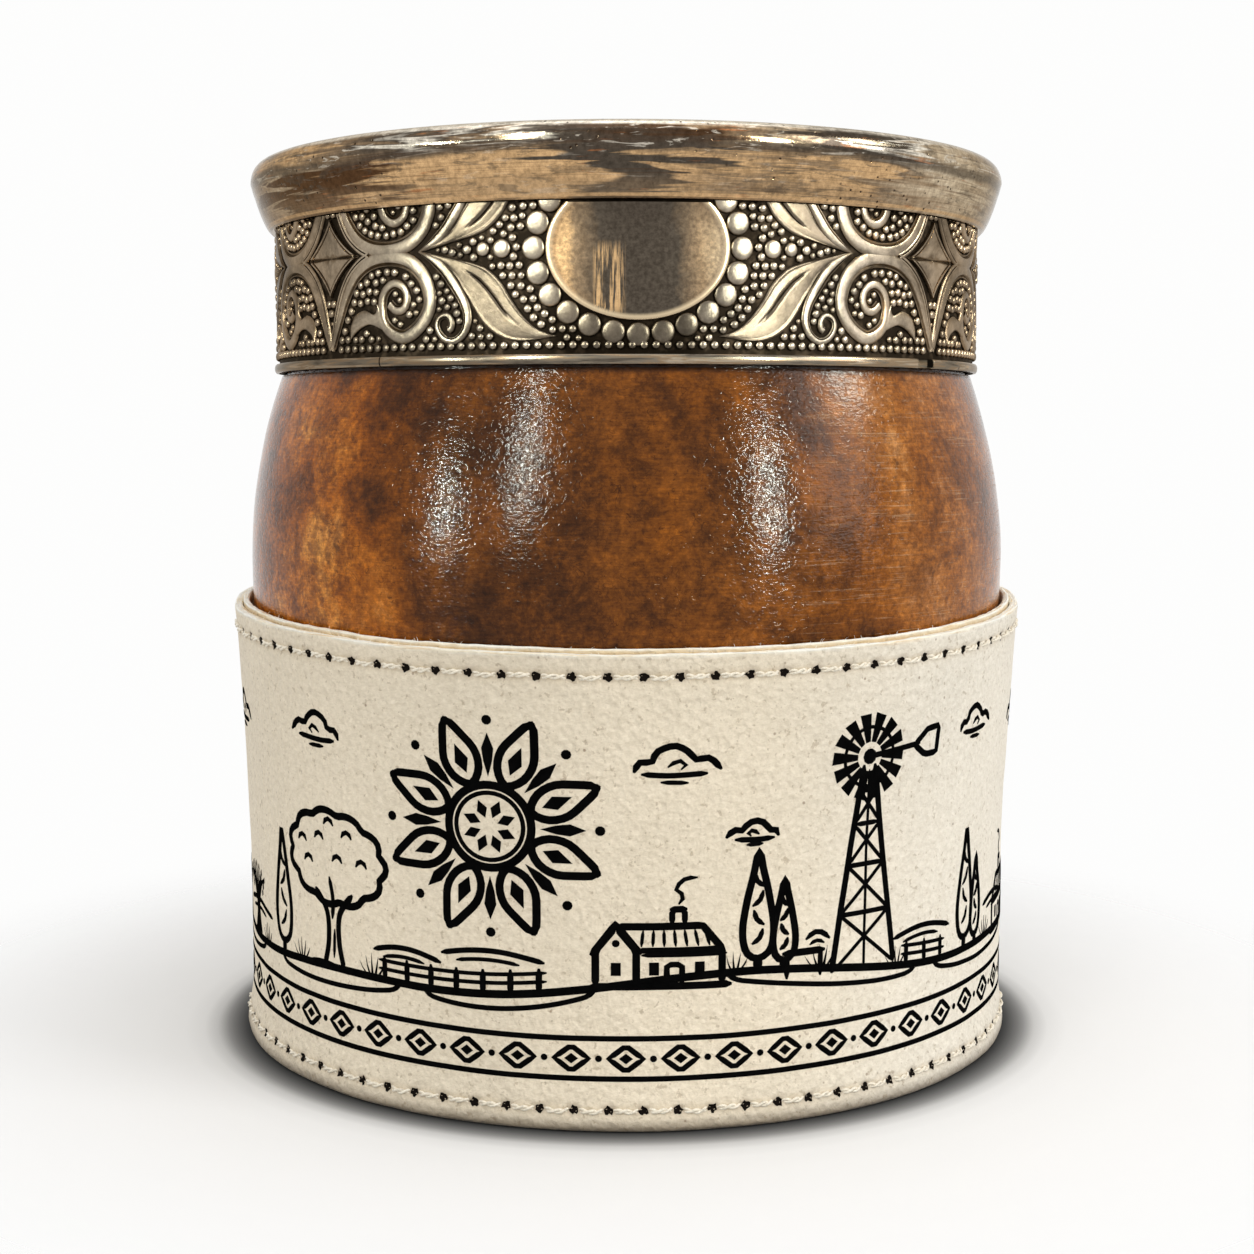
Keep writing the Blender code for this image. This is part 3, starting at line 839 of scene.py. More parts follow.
def colour_setting(name, description, *screen_colour):
    """A colour that the user sets, given as a screen colour."""
    return bpy.props.FloatVectorProperty(
        name=name, description=description, default=screen(*screen_colour), size=3, min=0.0, max=1.0,
        subtype="COLOR",
    )


class MateCupSizes(bpy.types.PropertyGroup):
    """Sizes of the fine work that the solids leave out."""

    relief: size_setting("Relief", "Height of the chased leaves and scrolls above the band", 0.36, 0.1, 0.44)
    pearl: size_setting("Small pearl", "Radius of the smallest pearls of the chased ground", 0.45, 0.3, 0.6)
    thread: size_setting("Thread", "Thickness of one ply of the linen thread", 0.27, 0.15, 0.4)
    line: size_setting("Ink line", "Width of the drawing's main lines", 0.9, 0.3, 1.2)
    creases: size_setting("Creases", "Depth of the soft creases in the sleeve", 0.09, 0.0, 0.3)
    fibres: bpy.props.IntProperty(
        name="Fibres", description="Loose fibres along the sleeve's cut edge", default=320, min=0, max=800
    )
    grain: bpy.props.FloatProperty(
        name="Grain", description="Fineness of the leather's grain", default=1.0, min=0.3, max=3.0,
        subtype="FACTOR",
    )


class MateCupColours(bpy.types.PropertyGroup):
    """Colours of the finishes, in linear light."""

    gourd_light: colour_setting("Gourd, light", "Chestnut of the varnished gourd", 134, 76, 17)
    gourd_dark: colour_setting("Gourd, dark", "Dark brown of the gourd's mottling", 78, 42, 9)
    metal_bright: colour_setting("Metal, bright", "Polished nickel silver", 162, 150, 133)
    metal_dark: colour_setting("Metal, dark", "Patina in the metal's hollows", 30, 24, 18)
    leather: colour_setting("Leather", "Cream face of the sleeve", 231, 219, 196)
    leather_edge: colour_setting("Leather edge", "Cut edge of the sleeve", 254, 244, 219)
    thread: colour_setting("Thread", "Linen thread", 236, 226, 206)
    ink: colour_setting("Ink", "Lines of the drawing", 9, 9, 9)
    floor: colour_setting("Floor", "Floor under the cup", 245, 245, 245)


def sizes():
    return bpy.context.scene.mate_cup_sizes


def colours():
    return bpy.context.scene.mate_cup_colours


# Gourd


def gourd_side(belly, neck, bottom, base_steps=40, shoulder_steps=24):
    """One side of the gourd's wall as (radius, height) points.

    The base swells from its flat seat by sin(t)^0.7 while its height rises by 1 - cos(t); above
    the belly the radius falls off with the square of the height.
    """
    t = np.linspace(0, math.pi / 2, base_steps)
    base_r = GOURD_SEAT_RADIUS + (belly - GOURD_SEAT_RADIUS) * np.sin(t) ** BASE_FULLNESS
    base = pairs(base_r, bottom + (BELLY_Z - bottom) * (1 - np.cos(t)))
    share = np.linspace(0, 1, shoulder_steps + 1)[1:]
    shoulder = pairs(belly - (belly - neck) * share**2, BELLY_Z + (SHOULDER_Z - BELLY_Z) * share)
    return np.concatenate([[(0.0, bottom)], base, shoulder])


def grown(radius, height, angle):
    """The slight unevenness of a grown shell: two noises, faded out at the neck and the axis."""
    turns, rise = angle / TURN, height / MOUTH_Z
    free = held((SHOULDER_Z - height) / NECK_FADE) * held((height - SEAT_FADE_START) / SEAT_FADE)
    return radius + uneven(turns, rise, GROWTH) * free, height


class MATECUP_OT_gourd(bpy.types.Operator):
    """Makes the varnished gourd, outside and inside"""

    bl_idname = "mate_cup.gourd"
    bl_label = "Gourd"

    def execute(self, context):
        outside = gourd_side(BELLY_RADIUS, SHOULDER_RADIUS, GOURD_BOTTOM)
        inside = gourd_side(BELLY_RADIUS - GOURD_WALL, NECK_BORE, GOURD_BOTTOM + GOURD_FLOOR)[::-1]
        bevel = [(NECK_RADIUS, MOUTH_Z - NECK_BEVEL), (NECK_RADIUS - NECK_BEVEL, MOUTH_Z)]
        neck = [(NECK_RADIUS, SHOULDER_Z), *bevel, (NECK_BORE, MOUTH_Z)]
        profile = np.concatenate([outside, neck, inside])
        points, quads = turned(profile, GOURD_COLUMNS, grown)
        on_inside = np.arange(len(profile)) > len(outside) + 2
        shell = Gathering()
        shell.add(points, quads, inside=np.repeat(on_inside, GOURD_COLUMNS))
        finish = gourd_finish(colours().gourd_light, colours().gourd_dark)
        add_piece("varnished_gourd", shell, finish, ["gourd_shell"], crease=50)
        return {"FINISHED"}


# Chased band

# Paths and outlines of the lower half of the pattern, in millimetres (p, q)
STEM = [
    (22.75, 0), (21.1, -0.76), (19.7, -1.87), (18.6, -3.26), (17.7, -4.63), (17.2, -5.8),
    (17.1, -6.94), (17.6, -8.09), (18.65, -8.75), (19.8, -8.43), (20.5, -7.45), (20.34, -6.58),
    (19.5, -6.22), (18.96, -6.6), (18.86, -7.39), (19.2, -7.67),
]
SCROLL = [
    (35.45, -9.0), (34.1, -6.2), (33.0, -4.06), (31.3, -1.95), (29.15, -0.77), (26.6, -0.42),
    (24.26, -0.82), (22.5, -1.96), (21.6, -3.54), (21.4, -5.1), (22.0, -6.44), (23.2, -7.58),
    (24.6, -8.2), (25.9, -7.9), (27.0, -7.08), (27.5, -5.88), (27.36, -4.3), (26.65, -3.35),
    (25.6, -3.0), (24.55, -3.53), (24.2, -4.5), (24.6, -5.4), (25.6, -5.55), (26.4, -4.93),
]
STAR_FRAME = [(29.4, 0), (31.0, -0.75), (32.6, -2.0), (33.8, -3.7), (34.6, -5.6), (35.2, -7.6), (35.6, -9.3)]
LEAF_UPPER = [
    (22.75, 0), (21.8, -0.06), (18.1, -0.88), (15.96, -1.42), (14.7, -2.03), (13.45, -3.2),
    (12.74, -4.36), (11.84, -5.7), (11.04, -6.67), (10.04, -7.54), (9.05, -8.02), (7.84, -8.41),
]
LEAF_LOWER = [
    (22.75, 0), (21.3, -0.5), (19.6, -1.35), (18.3, -2.6), (17.5, -3.9), (16.95, -4.74), (16.2, -6.0),
    (15.37, -7.17), (14.32, -8.05), (13.08, -8.64), (11.86, -8.85), (10.25, -8.77), (7.84, -8.41),
]
LOBE_UPPER = [(28.07, -4.9), (28.66, -5.84), (30.13, -5.38), (31.71, -5.92), (32.39, -7.1), (32.2, -8.3)]
LOBE_LOWER = [(28.07, -4.9), (26.0, -7.9), (28.7, -7.0), (29.9, -7.0), (31.2, -7.5), (32.2, -8.3)]
STEM_WIDTHS = [0.1, 0.55, 0.58, 0.52, 0.42, 0.36, 0.3, 0.4]
SCROLL_WIDTHS = [0.48, 0.6, 0.72, 0.8, 0.86, 0.84, 0.78, 0.78, 0.7, 0.6, 0.46, 0.55]
LEAF_ROWS = 44
LOBE_ROWS = 24
STAR_HALF = (4.8, 3.95)
STAR_POWER = 2.5
STAR_MIDDLE = np.array([HALF_UNIT, 0.0])
OVAL_RING = (10.2, 8.22)
OVAL_RING_PEARLS = 24
OVAL_RING_TOP = 4.6
OVAL_PEARL = 1.2
AXIS_PEARLS = (13.43, 15.4, 17.1)
AXIS_PEARL_RADII = (0.95, 0.72, 0.5)
FOOT_ROW = -9.25
FOOT_PITCH = 1.15
FOOT_ROOM = 0.3
UNDER_LIP = ((0, 0, PATTERN_TOP), (0, 0, 1))
GROOVE_WIDTH = 0.06
GROOVE_DEPTH = 0.8

# Discs that keep the pearls off the oval plate and the star, and gaps round what is there
PLATE_COVER = (8.8, 6.9)
PLATE_MARGIN = 0.2
STAR_COVER = (3.6, 3.0)
STAR_EDGE_DISC = 1.0
STAR_MIDDLE_DISC = 2.2
ORNAMENT_GAP = 0.08
PEARL_GAP = 0.06

# Small pearls: the lattice they start from, how it is pushed apart, and when one is left out
PEARL_EDGE = (0.3, PATTERN_FOOT + 1.6)
PEARL_TOP = 5.4
PEARL_PITCH = 2.4
PEARL_ROWS = 0.87
PEARL_JITTER = 0.18
PEARL_STEPS = 50
PEARL_OVERLAP = 0.05
PEARL_APART = 0.93
PUSH_OUT = 0.7
PUSH_APART = 0.45
PEARL_ROOM = 0.55
PEARL_TOUCH = 1.75
PEARL_SMALLEST = 0.6


def open_turn(joint, slit, count):
    """Angles of a strip bent round to a joint, where a slit stays open, as a column."""
    return (joint + slit / 2 + np.linspace(0, 1, count) * (TURN - slit))[:, None]


def drawn_in(edge, middle, shares):
    """Rings of an outline, drawn in towards its middle by shares."""
    return middle + (edge - middle)[None] * np.array(shares)[:, None, None]


def arch(steps, power=0.6):
    """A rounded cross-section, sin^power, as (share across, share of height); its ends are sunk."""
    turn = np.linspace(0, math.pi, steps)
    top = pairs((1 - np.cos(turn)) / 2, np.sin(turn) ** power)
    return np.concatenate([[(0, -1)], top, [(1, -1)]])


def raised(left, right, rise, section):
    """A closed raised form between two edge lines, as (p, q, height) points.

    Each point is left (1 - a) + right a, at the height rise times the section's second number.
    """
    across, up = section.T
    flat = left[:, None] * (1 - across)[:, None] + right[:, None] * across[:, None]
    height = np.where(up < 0, -SUNK, np.broadcast_to(rise, len(left))[:, None] * up)
    return np.concatenate([flat, height[:, :, None]], axis=2), *lidded(*height.shape)


def ridge(path, widths, rise, count, groove):
    """A rounded ridge whose half width follows the given widths along the path.

    The groove is a share of the width: there the height is cut by 0.8 exp(-d^2).
    """
    path = smooth_path(path, count)
    half = np.interp(np.linspace(0, 1, count), np.linspace(0, 1, len(widths)), widths)
    side = left_of(np.gradient(path, axis=0)) * half[:, None]
    section = arch(19)
    section[1:-1, 1] *= 1 - GROOVE_DEPTH * bell(section[1:-1, 0] - groove, GROOVE_WIDTH)
    return raised(path + side, path - side, np.minimum(rise, half * 1.1), section)


def veined_leaf(rise):
    """The leaf: flat between its two raised edges, with a slit cut along its middle."""
    section = arch(41, 0.45)
    inset = np.minimum(section[1:-1, 0], 1 - section[1:-1, 0])
    section[1:-1, 1] *= 1 - 0.3 * held((inset - 0.06) / 0.05)
    edges = (smooth_path(side, LEAF_ROWS) for side in (LEAF_UPPER, LEAF_LOWER))
    points, quads, lids = raised(*edges, rise, section)
    t = np.linspace(0, 1, LEAF_ROWS)[:, None]
    middle = 0.5 - 0.12 * np.sin(t * math.pi)
    slit = bell(section[:, 0] - middle, 0.032) * held((t - 0.34) / 0.05) * held((0.76 - t) / 0.12)
    taper = held(np.minimum(t / 0.12, (1 - t) / 0.05) + 0.25)
    height = points[:, :, 2]
    points[:, :, 2] = np.where(height > 0, height * taper * (1 - 0.9 * slit), height)
    return points, quads, lids


def star(rise, columns=96):
    """A four-pointed star, p = a cos^2.5 and q = b sin^2.5, with a standing rim.

    A groove, exp(-d^2), runs along its middle line.
    """
    shares = [1.0, 1.0, 0.97, 0.91, 0.87, 0.81, 0.4, 0.07, 0.0]
    heights = np.array([-SUNK, 0.1, *(rise * np.array([1, 1, 0.3, 0.93, 0.97, 1, 1]))])[:, None, None]
    circle = ellipse(full_turn(columns))
    edge = STAR_MIDDLE + np.sign(circle) * np.abs(circle) ** STAR_POWER * STAR_HALF
    flat = drawn_in(edge, STAR_MIDDLE, shares)
    groove = 1 - GROOVE_DEPTH * bell(flat[:, :, 1:], 0.14) * (heights > 0.1)
    return np.concatenate([flat, heights * groove], axis=2), *lidded(len(shares), columns, 1)


def discs(points):
    """Covers a raised form, row by row, with three discs side by side: middles and radii."""
    left, right = points[:, 0, :2], points[:, -1, :2]
    shares = np.array([1, 3, 5])[:, None, None] / 6
    middles = (left * (1 - shares) + right * shares).reshape(-1, 2)
    return middles, np.tile(np.linalg.norm(left - right, axis=1) / 6, 3)


def room(spots, centres, radii):
    """How far each spot is from the nearest disc, less than 0 inside it."""
    return (np.linalg.norm(spots[:, None] - centres, axis=2) - radii).min(axis=1)


def scatter_pearls(centres, radii, radius):
    """Places small pearls in the ground that the ornament, a union of discs, leaves free.

    A close hexagonal lattice is pushed apart step by step: away from the nearest disc, and from
    every neighbour nearer than the pitch. What still overlaps is left out.
    """
    pitch = PEARL_PITCH * radius
    lines = np.arange(PEARL_EDGE[1], PEARL_TOP, pitch * PEARL_ROWS)
    start = np.arange(PEARL_EDGE[0], HALF_UNIT, pitch)
    grid = np.concatenate([pairs(start + (k % 2) * pitch / 2, q) for k, q in enumerate(lines)])
    spots = grid + np.random.default_rng(11).uniform(-PEARL_JITTER, PEARL_JITTER, grid.shape)
    spots = spots[room(spots, centres, radii) > -PEARL_OVERLAP * radius]
    for _ in range(PEARL_STEPS):
        apart = spots[:, None] - centres
        distance = np.linalg.norm(apart, axis=2)
        pick = np.arange(len(spots)), (radii - distance).argmax(axis=1)
        push = np.maximum(radii + radius - distance, 0)[pick]
        spots = spots + apart[pick] / distance[pick][:, None] * push[:, None] * PUSH_OUT
        apart = spots[:, None] - spots
        distance = np.linalg.norm(apart, axis=2) + np.eye(len(spots)) * 9
        push = np.maximum(pitch * PEARL_APART - distance, 0) * PUSH_APART
        spots = spots + (apart / distance[:, :, None] * push[:, :, None]).sum(axis=1) * 0.5
        spots[:, 0] = np.clip(spots[:, 0], 0.0, HALF_UNIT)
    spots = spots[room(spots, centres, radii) > PEARL_ROOM * radius]
    distance = np.linalg.norm(spots[:, None] - spots, axis=2)
    spots = spots[~np.tril(distance < PEARL_TOUCH * radius, -1).any(axis=1)]
    return spots, np.clip(room(spots, centres, radii), PEARL_SMALLEST * radius, radius)


def domes(centres, radii, rings, columns):
    """Pearls: domes, cos^0.65 wide and sin^0.65 high, kept below the relief's limit."""
    tilt = np.linspace(0, math.pi / 2, rings + 1)[:-1]
    flat = (np.cos(tilt) ** 0.65)[:, None, None] * ellipse(full_turn(columns))
    flat = np.concatenate([flat[:1].reshape(-1, 2), flat.reshape(-1, 2), [[0.0, 0.0]]])
    lift = np.concatenate([np.full(columns, -SUNK), np.repeat(np.sin(tilt) ** 0.65, columns), [1.0]])
    height = np.where(lift < 0, -SUNK, lift * np.minimum(radii * 0.95, 0.42)[:, None])
    spread = centres[:, None] + flat * radii[:, None, None]
    last = rings * columns + np.arange(columns)
    tips = np.stack([last, np.roll(last, -1), np.full(columns, (rings + 1) * columns)], axis=1)
    return np.concatenate([spread, height[:, :, None]], axis=2), *lidded(rings + 1, columns, 1), tips


def unit_arc(p, unit):
    """Arc from the front oval's middle: every other half unit of the pattern runs backwards."""
    return (unit + 1) * HALF_UNIT - p if unit % 2 else unit * HALF_UNIT + p


def chased_place(points, unit, sign, over=1):
    """Wraps (p, q, height) points on the band, mirrored where sign or over is -1."""
    p, q, height = np.moveaxis(points, -1, 0)
    angle = FRONT + OVAL_TURN + unit_arc(p, unit) * sign / PATTERN_RADIUS
    return around(BAND_OUTER + height, angle, PATTERN_MIDDLE + q * over)


class MATECUP_OT_band(bpy.types.Operator):
    """Makes the chased band: its sheet, its leaves and scrolls, and its pearls"""

    bl_idname = "mate_cup.band"
    bl_label = "Chased band"

    def execute(self, context):
        rise = sizes().relief / MM
        finish = chased_finish(colours().metal_bright, colours().metal_dark)
        self.make_sheet(finish)
        lobe = (smooth_path(side, LOBE_ROWS) for side in (LOBE_UPPER, LOBE_LOWER))
        forms = [
            veined_leaf(rise),
            ridge(STEM, STEM_WIDTHS, rise, 60, 0.2),
            ridge(SCROLL, SCROLL_WIDTHS, rise, 100, 0.16),
            ridge(STAR_FRAME, [0.42, 0.42], rise, 26, 0.5),
            raised(*lobe, rise, arch(11)),
        ]
        for side, sign in (("right", 1), ("left", -1)):
            relief = Gathering()
            for unit in range(4):
                for over in (1, -1):
                    for number, (points, *faces) in enumerate(forms):
                        relief.add(chased_place(points, unit, sign, over), *faces, leaf=float(number == 0))
            for unit in (0, 2):
                points, *faces = star(rise)
                relief.add(chased_place(points, unit, sign), *faces, leaf=0.0)
            joint = ((sign * BAND_JOINT / 2, 0, 0), (-sign, 0, 0))
            add_piece("chased_leaves_" + side, relief, finish, cuts=[UNDER_LIP, joint])
        self.make_pearls(finish, [discs(form[0]) for form in forms], sizes().pearl / MM)
        return {"FINISHED"}

    def make_sheet(self, finish):
        """The strip under the relief, with shallow dents in its face; its ends butt at the back."""
        columns = 420
        angle = open_turn(BACK, BAND_SLIT, columns)
        outer = pairs(BAND_OUTER, np.linspace(BAND_BOTTOM, MOUTH_Z, 25))
        profile = np.concatenate([outer, [(BAND_INNER, MOUTH_Z), (BAND_INNER, BAND_BOTTOM)]])
        radius, height = profile.T[:, None]
        ground = uneven(angle / TURN, (height - BAND_BOTTOM) / SHEET_SPAN, SHEET_DENTS)
        sheet = Gathering()
        points = around(radius + np.where(radius > BAND_INNER, ground, 0), angle, height)
        sheet.add(points, *lidded(columns, len(profile)))
        add_piece("band_sheet", sheet, finish, ["chased_band"])

    def make_pearls(self, finish, covers, pearl):
        """Gathers the pearls of every half unit, without those that the band's joint would cut."""
        solid, solid_radii = (np.concatenate(part) for part in zip(*covers))
        solid, solid_radii = np.concatenate([solid, solid * (1, -1)]), np.tile(solid_radii, 2)
        ring = even_path(ellipse(np.linspace(0, TURN, 2000), *OVAL_RING), OVAL_RING_PEARLS + 1)[:-1]
        ring = ring[(ring[:, 0] > -0.01) & (ring[:, 1] < OVAL_RING_TOP)]
        big = np.concatenate([ring, pairs(AXIS_PEARLS, 0.0)])
        big_radii = np.concatenate([np.full(len(ring), OVAL_PEARL), AXIS_PEARL_RADII])
        foot = pairs(np.arange(FOOT_PITCH / 2, HALF_UNIT, FOOT_PITCH), FOOT_ROW)
        foot = foot[room(foot, solid, solid_radii) > FOOT_ROOM * pearl]
        foot_radii = np.full(len(foot), pearl)

        # The oval plate and the star, whose edge has discs of its own
        half_width, half_height = PLATE_COVER
        oval = np.linspace(0, 8.0, 12)
        oval_radii = half_height * np.sqrt(1 - (oval / half_width) ** 2) + PLATE_MARGIN
        circle = ellipse(np.linspace(0, TURN, 64))
        star_edge = STAR_MIDDLE + STAR_COVER * circle * np.abs(circle) ** (STAR_POWER - 1)
        solid = np.concatenate([solid, pairs(oval, 0.0), star_edge, [STAR_MIDDLE]])
        star_radii = np.full(len(star_edge), STAR_EDGE_DISC)
        solid_radii = np.concatenate([solid_radii, oval_radii, star_radii, [STAR_MIDDLE_DISC]])

        centres = np.concatenate([solid, big, foot])
        pearl_radii = np.concatenate([big_radii, foot_radii])
        radii = np.concatenate([solid_radii + ORNAMENT_GAP, pearl_radii + PEARL_GAP])
        spots, spot_radii = scatter_pearls(centres, radii, pearl)
        small, small_radii = np.concatenate([spots, foot]), np.concatenate([spot_radii, foot_radii])
        pearls = Gathering()
        for sign in (1, -1):
            end = PATTERN_RADIUS * (math.pi - sign * OVAL_TURN) - BAND_JOINT
            for unit in range(4):
                for where, reach, *steps in ((small, small_radii, 3, 8), (big, big_radii, 6, 16)):
                    kept = unit_arc(where[:, 0], unit) + reach < end
                    if kept.any():
                        forms, *faces = domes(where[kept], reach[kept], *steps)
                        pearls.add_copies(chased_place(forms, unit, sign), *faces)
        add_piece("band_pearls", pearls, finish, crease=60, cuts=[UNDER_LIP])


class MATECUP_OT_trim(bpy.types.Operator):
    """Makes the wire along the band's lower edge and the oval plates"""

    bl_idname = "mate_cup.trim"
    bl_label = "Edge wire and oval plates"

    def execute(self, context):
        self.make_wire(plain_metal_finish("worn_trim", colours().metal_bright, SLATE, 0.22))
        plate = plate_finish()
        for side, step in (("front", 0), ("right", 1), ("left", -1)):
            self.make_oval(side, FRONT + OVAL_TURN + step * OVAL_SPACING, plate)
        return {"FINISHED"}

    def make_wire(self, finish):
        """A flat-backed, half-round wire with a butt joint, file marks and a nick right of the front."""
        columns, steps = 720, 9
        angle = open_turn(WIRE_JOINT, BAND_SLIT, columns)
        turn = np.linspace(-math.pi / 2, math.pi / 2, steps)
        bulge = held(np.cos(turn)) ** 0.45 * WIRE_PROUD
        lift = BAND_BOTTOM + WIRE_HEIGHT / 2 + np.sin(turn) * WIRE_HEIGHT / 2
        marks = uneven(angle / TURN, 0.5, WIRE_DENTS)
        nick = 1.5 * np.exp(-(((angle - FRONT - WIRE_NICK) / 0.028) ** 4)) * (turn > -0.9)
        points = around(TRIM_SEAT + bulge * (1 + marks - nick), angle, lift)
        wire = Gathering()
        wire.add(points, *lidded(columns, steps), nick=(nick > 0.15).ravel())
        add_piece("edge_wire", wire, finish, ["band_edge_wire"])

    def make_oval(self, side, facing, finish):
        """An oval plate bent round the band, with a raised, rounded rim."""
        columns = 96
        shares = (0.98, 1.0, 1.0, 0.985, 0.965, 0.94, 0.915, 0.88, 0.7, 0.4, 0.0)
        heights = np.array([0.0, 0.05, 0.3, 0.42, 0.45, 0.43, 0.36, 0.33, 0.36, 0.38, 0.38])[:, None]
        flat = drawn_in(ellipse(full_turn(columns), OVAL_WIDTH / 2, OVAL_HEIGHT / 2), 0.0, shares)
        points = around(TRIM_SEAT + heights, facing + flat[..., 0] / TRIM_SEAT, OVAL_MIDDLE + flat[..., 1])
        across, up = (2 * flat / (OVAL_WIDTH, OVAL_HEIGHT)).reshape(-1, 2).T
        plate = Gathering()
        plate.add(points, *lidded(len(shares), columns, 1), across=across, up=up)
        cut = [((0, 0, LIP_EDGE_Z - 0.3), (0, 0, 1))]
        add_piece("oval_face_" + side, plate, finish, ["oval_plate_" + side], cuts=cut)


# Rim


def lip_side(inset):
    """One side of the rim's sheet: up the flared skirt, over the crest and down the leg.

    The skirt's radius grows with the height's share to the power 0.66; two quarter ellipses
    round the crest.
    """
    share = np.linspace(0, 1, 18)[:-1]
    skirt_r = LIP_EDGE_RADIUS + LIP_FLARE * share**LIP_FLARE_POWER - inset
    stretches = [pairs(skirt_r, LIP_EDGE_Z + (OUTER_ROUND[1] - LIP_EDGE_Z) * share)]
    for first, (r, z, width, height) in ((0, OUTER_ROUND), (90, INNER_ROUND)):
        turn = np.radians(np.linspace(first, first + 90, 14))
        stretches.append(ellipse(turn, width - inset, height - inset) + (r, z))
    return np.concatenate([*stretches, [(COLLAR_INNER + inset, LEG_END_Z)]])


def worn_lip(radius, height, angle):
    """Hand-finished unevenness of the rim, and one nick in its lower edge."""
    turns, rise = angle / TURN, (height - LIP_EDGE_Z) / LIP_SPAN
    away = ((angle - FRONT + LIP_NICK) / 0.012) ** 2 + ((height - LIP_EDGE_Z) / 0.35) ** 2
    return radius + uneven(turns, rise, LIP_DENTS), height + 0.3 * np.exp(-away)


class MATECUP_OT_rim(bpy.types.Operator):
    """Makes the flared rim and the collar inside the mouth"""

    bl_idname = "mate_cup.rim"
    bl_label = "Rim and collar"

    def execute(self, context):
        columns = 288
        profile = np.concatenate([lip_side(0), lip_side(LIP_SHEET)[::-1]])
        rim = Gathering()
        rim.add(*turned(profile, columns, worn_lip), run=np.repeat(run_length(profile), columns))
        add_piece("worn_rim", rim, rim_finish(), ["rim_lip"])
        foot = pairs([COLLAR_INNER, COLLAR_INNER + 0.2, COLLAR_OUTER], COLLAR_LOW)
        wall = pairs(COLLAR_INNER, np.linspace(COLLAR_TOP, COLLAR_LOW, 12)[:-1])
        collar = Gathering()
        collar.add(*turned(np.concatenate([foot, [(COLLAR_OUTER, COLLAR_TOP)], wall]), 160))
        satin = plain_metal_finish("satin_collar", screen(186, 178, 160), BRONZE, 0.34)
        add_piece("satin_collar", collar, satin, ["mouth_collar"])
        return {"FINISHED"}


# Sleeve


def sleeve_radius(z):
    """Outer radius of the sleeve at a height.

    The foot flares by half a cosine, the waist is straight, and the radius grows by the power
    2.2 to the top.
    """
    foot = FOOT_FLARE * (1 + np.cos(math.pi * held(z / FOOT_RISE))) / 2
    share = np.maximum((z - WAIST_RISE) / (SLEEVE_TOP - WAIST_RISE), 0)
    return SLEEVE_TOP_RADIUS - WAIST_TAPER + foot + WAIST_TAPER * share**WAIST_TAPER_POWER


def dipped(z, angle):
    """Lowers a height at the front and raises it at the back, in proportion to the height."""
    return z * (1 + SLEEVE_DIP / SLEEVE_TOP * np.sin(angle))


def hole_angles():
    """Angles of the holes of one stitch row."""
    return BACK + SEAM_ANGLE / 2 + STITCH_ANGLE * np.arange(1, STITCH_COUNT)


def stitch_dents(angle, z):
    """How near a point is to a stitch row, exp(-d^2), and to one of its holes: both from 0 to 1."""
    step = (angle - BACK - SEAM_ANGLE / 2) / STITCH_ANGLE
    off = (step - np.round(step)) * STITCH_ANGLE * SLEEVE_TOP_RADIUS
    away = np.minimum(*(((z - row) / FURROW_REACH) ** 2 for row in STITCH_ROWS))
    return np.broadcast_arrays(np.exp(-away), np.exp(-away * 1.2 - (off / DIMPLE_REACH) ** 2))


def leather_depth(angle, z):
    """How far the leather's face lies out from its plain shape.

    Soft creases are noises; a stitch row draws a shallow furrow, and each hole a deeper dimple.
    """
    turns, rise = (angle - BACK) / TURN, z / LEATHER_SPAN
    depth = sizes().creases / MM
    slanted = uneven(turns + z / SLANT_SPAN, rise, SLANTED_CREASES, depth)
    furrow, dimple = stitch_dents(angle, z)
    return uneven(turns, rise, CREASES, depth) + slanted - FURROW_DEPTH * furrow - DIMPLE_DEPTH * dimple


def leather_face(angle, z):
    """Radius of the leather's outer face."""
    return sleeve_radius(z) + leather_depth(angle, z)


def on_leather(angle, z, lift):
    """Points on the sleeve's face, lifted off it by a small amount."""
    return around(leather_face(angle, z) + lift, angle, dipped(z, angle))


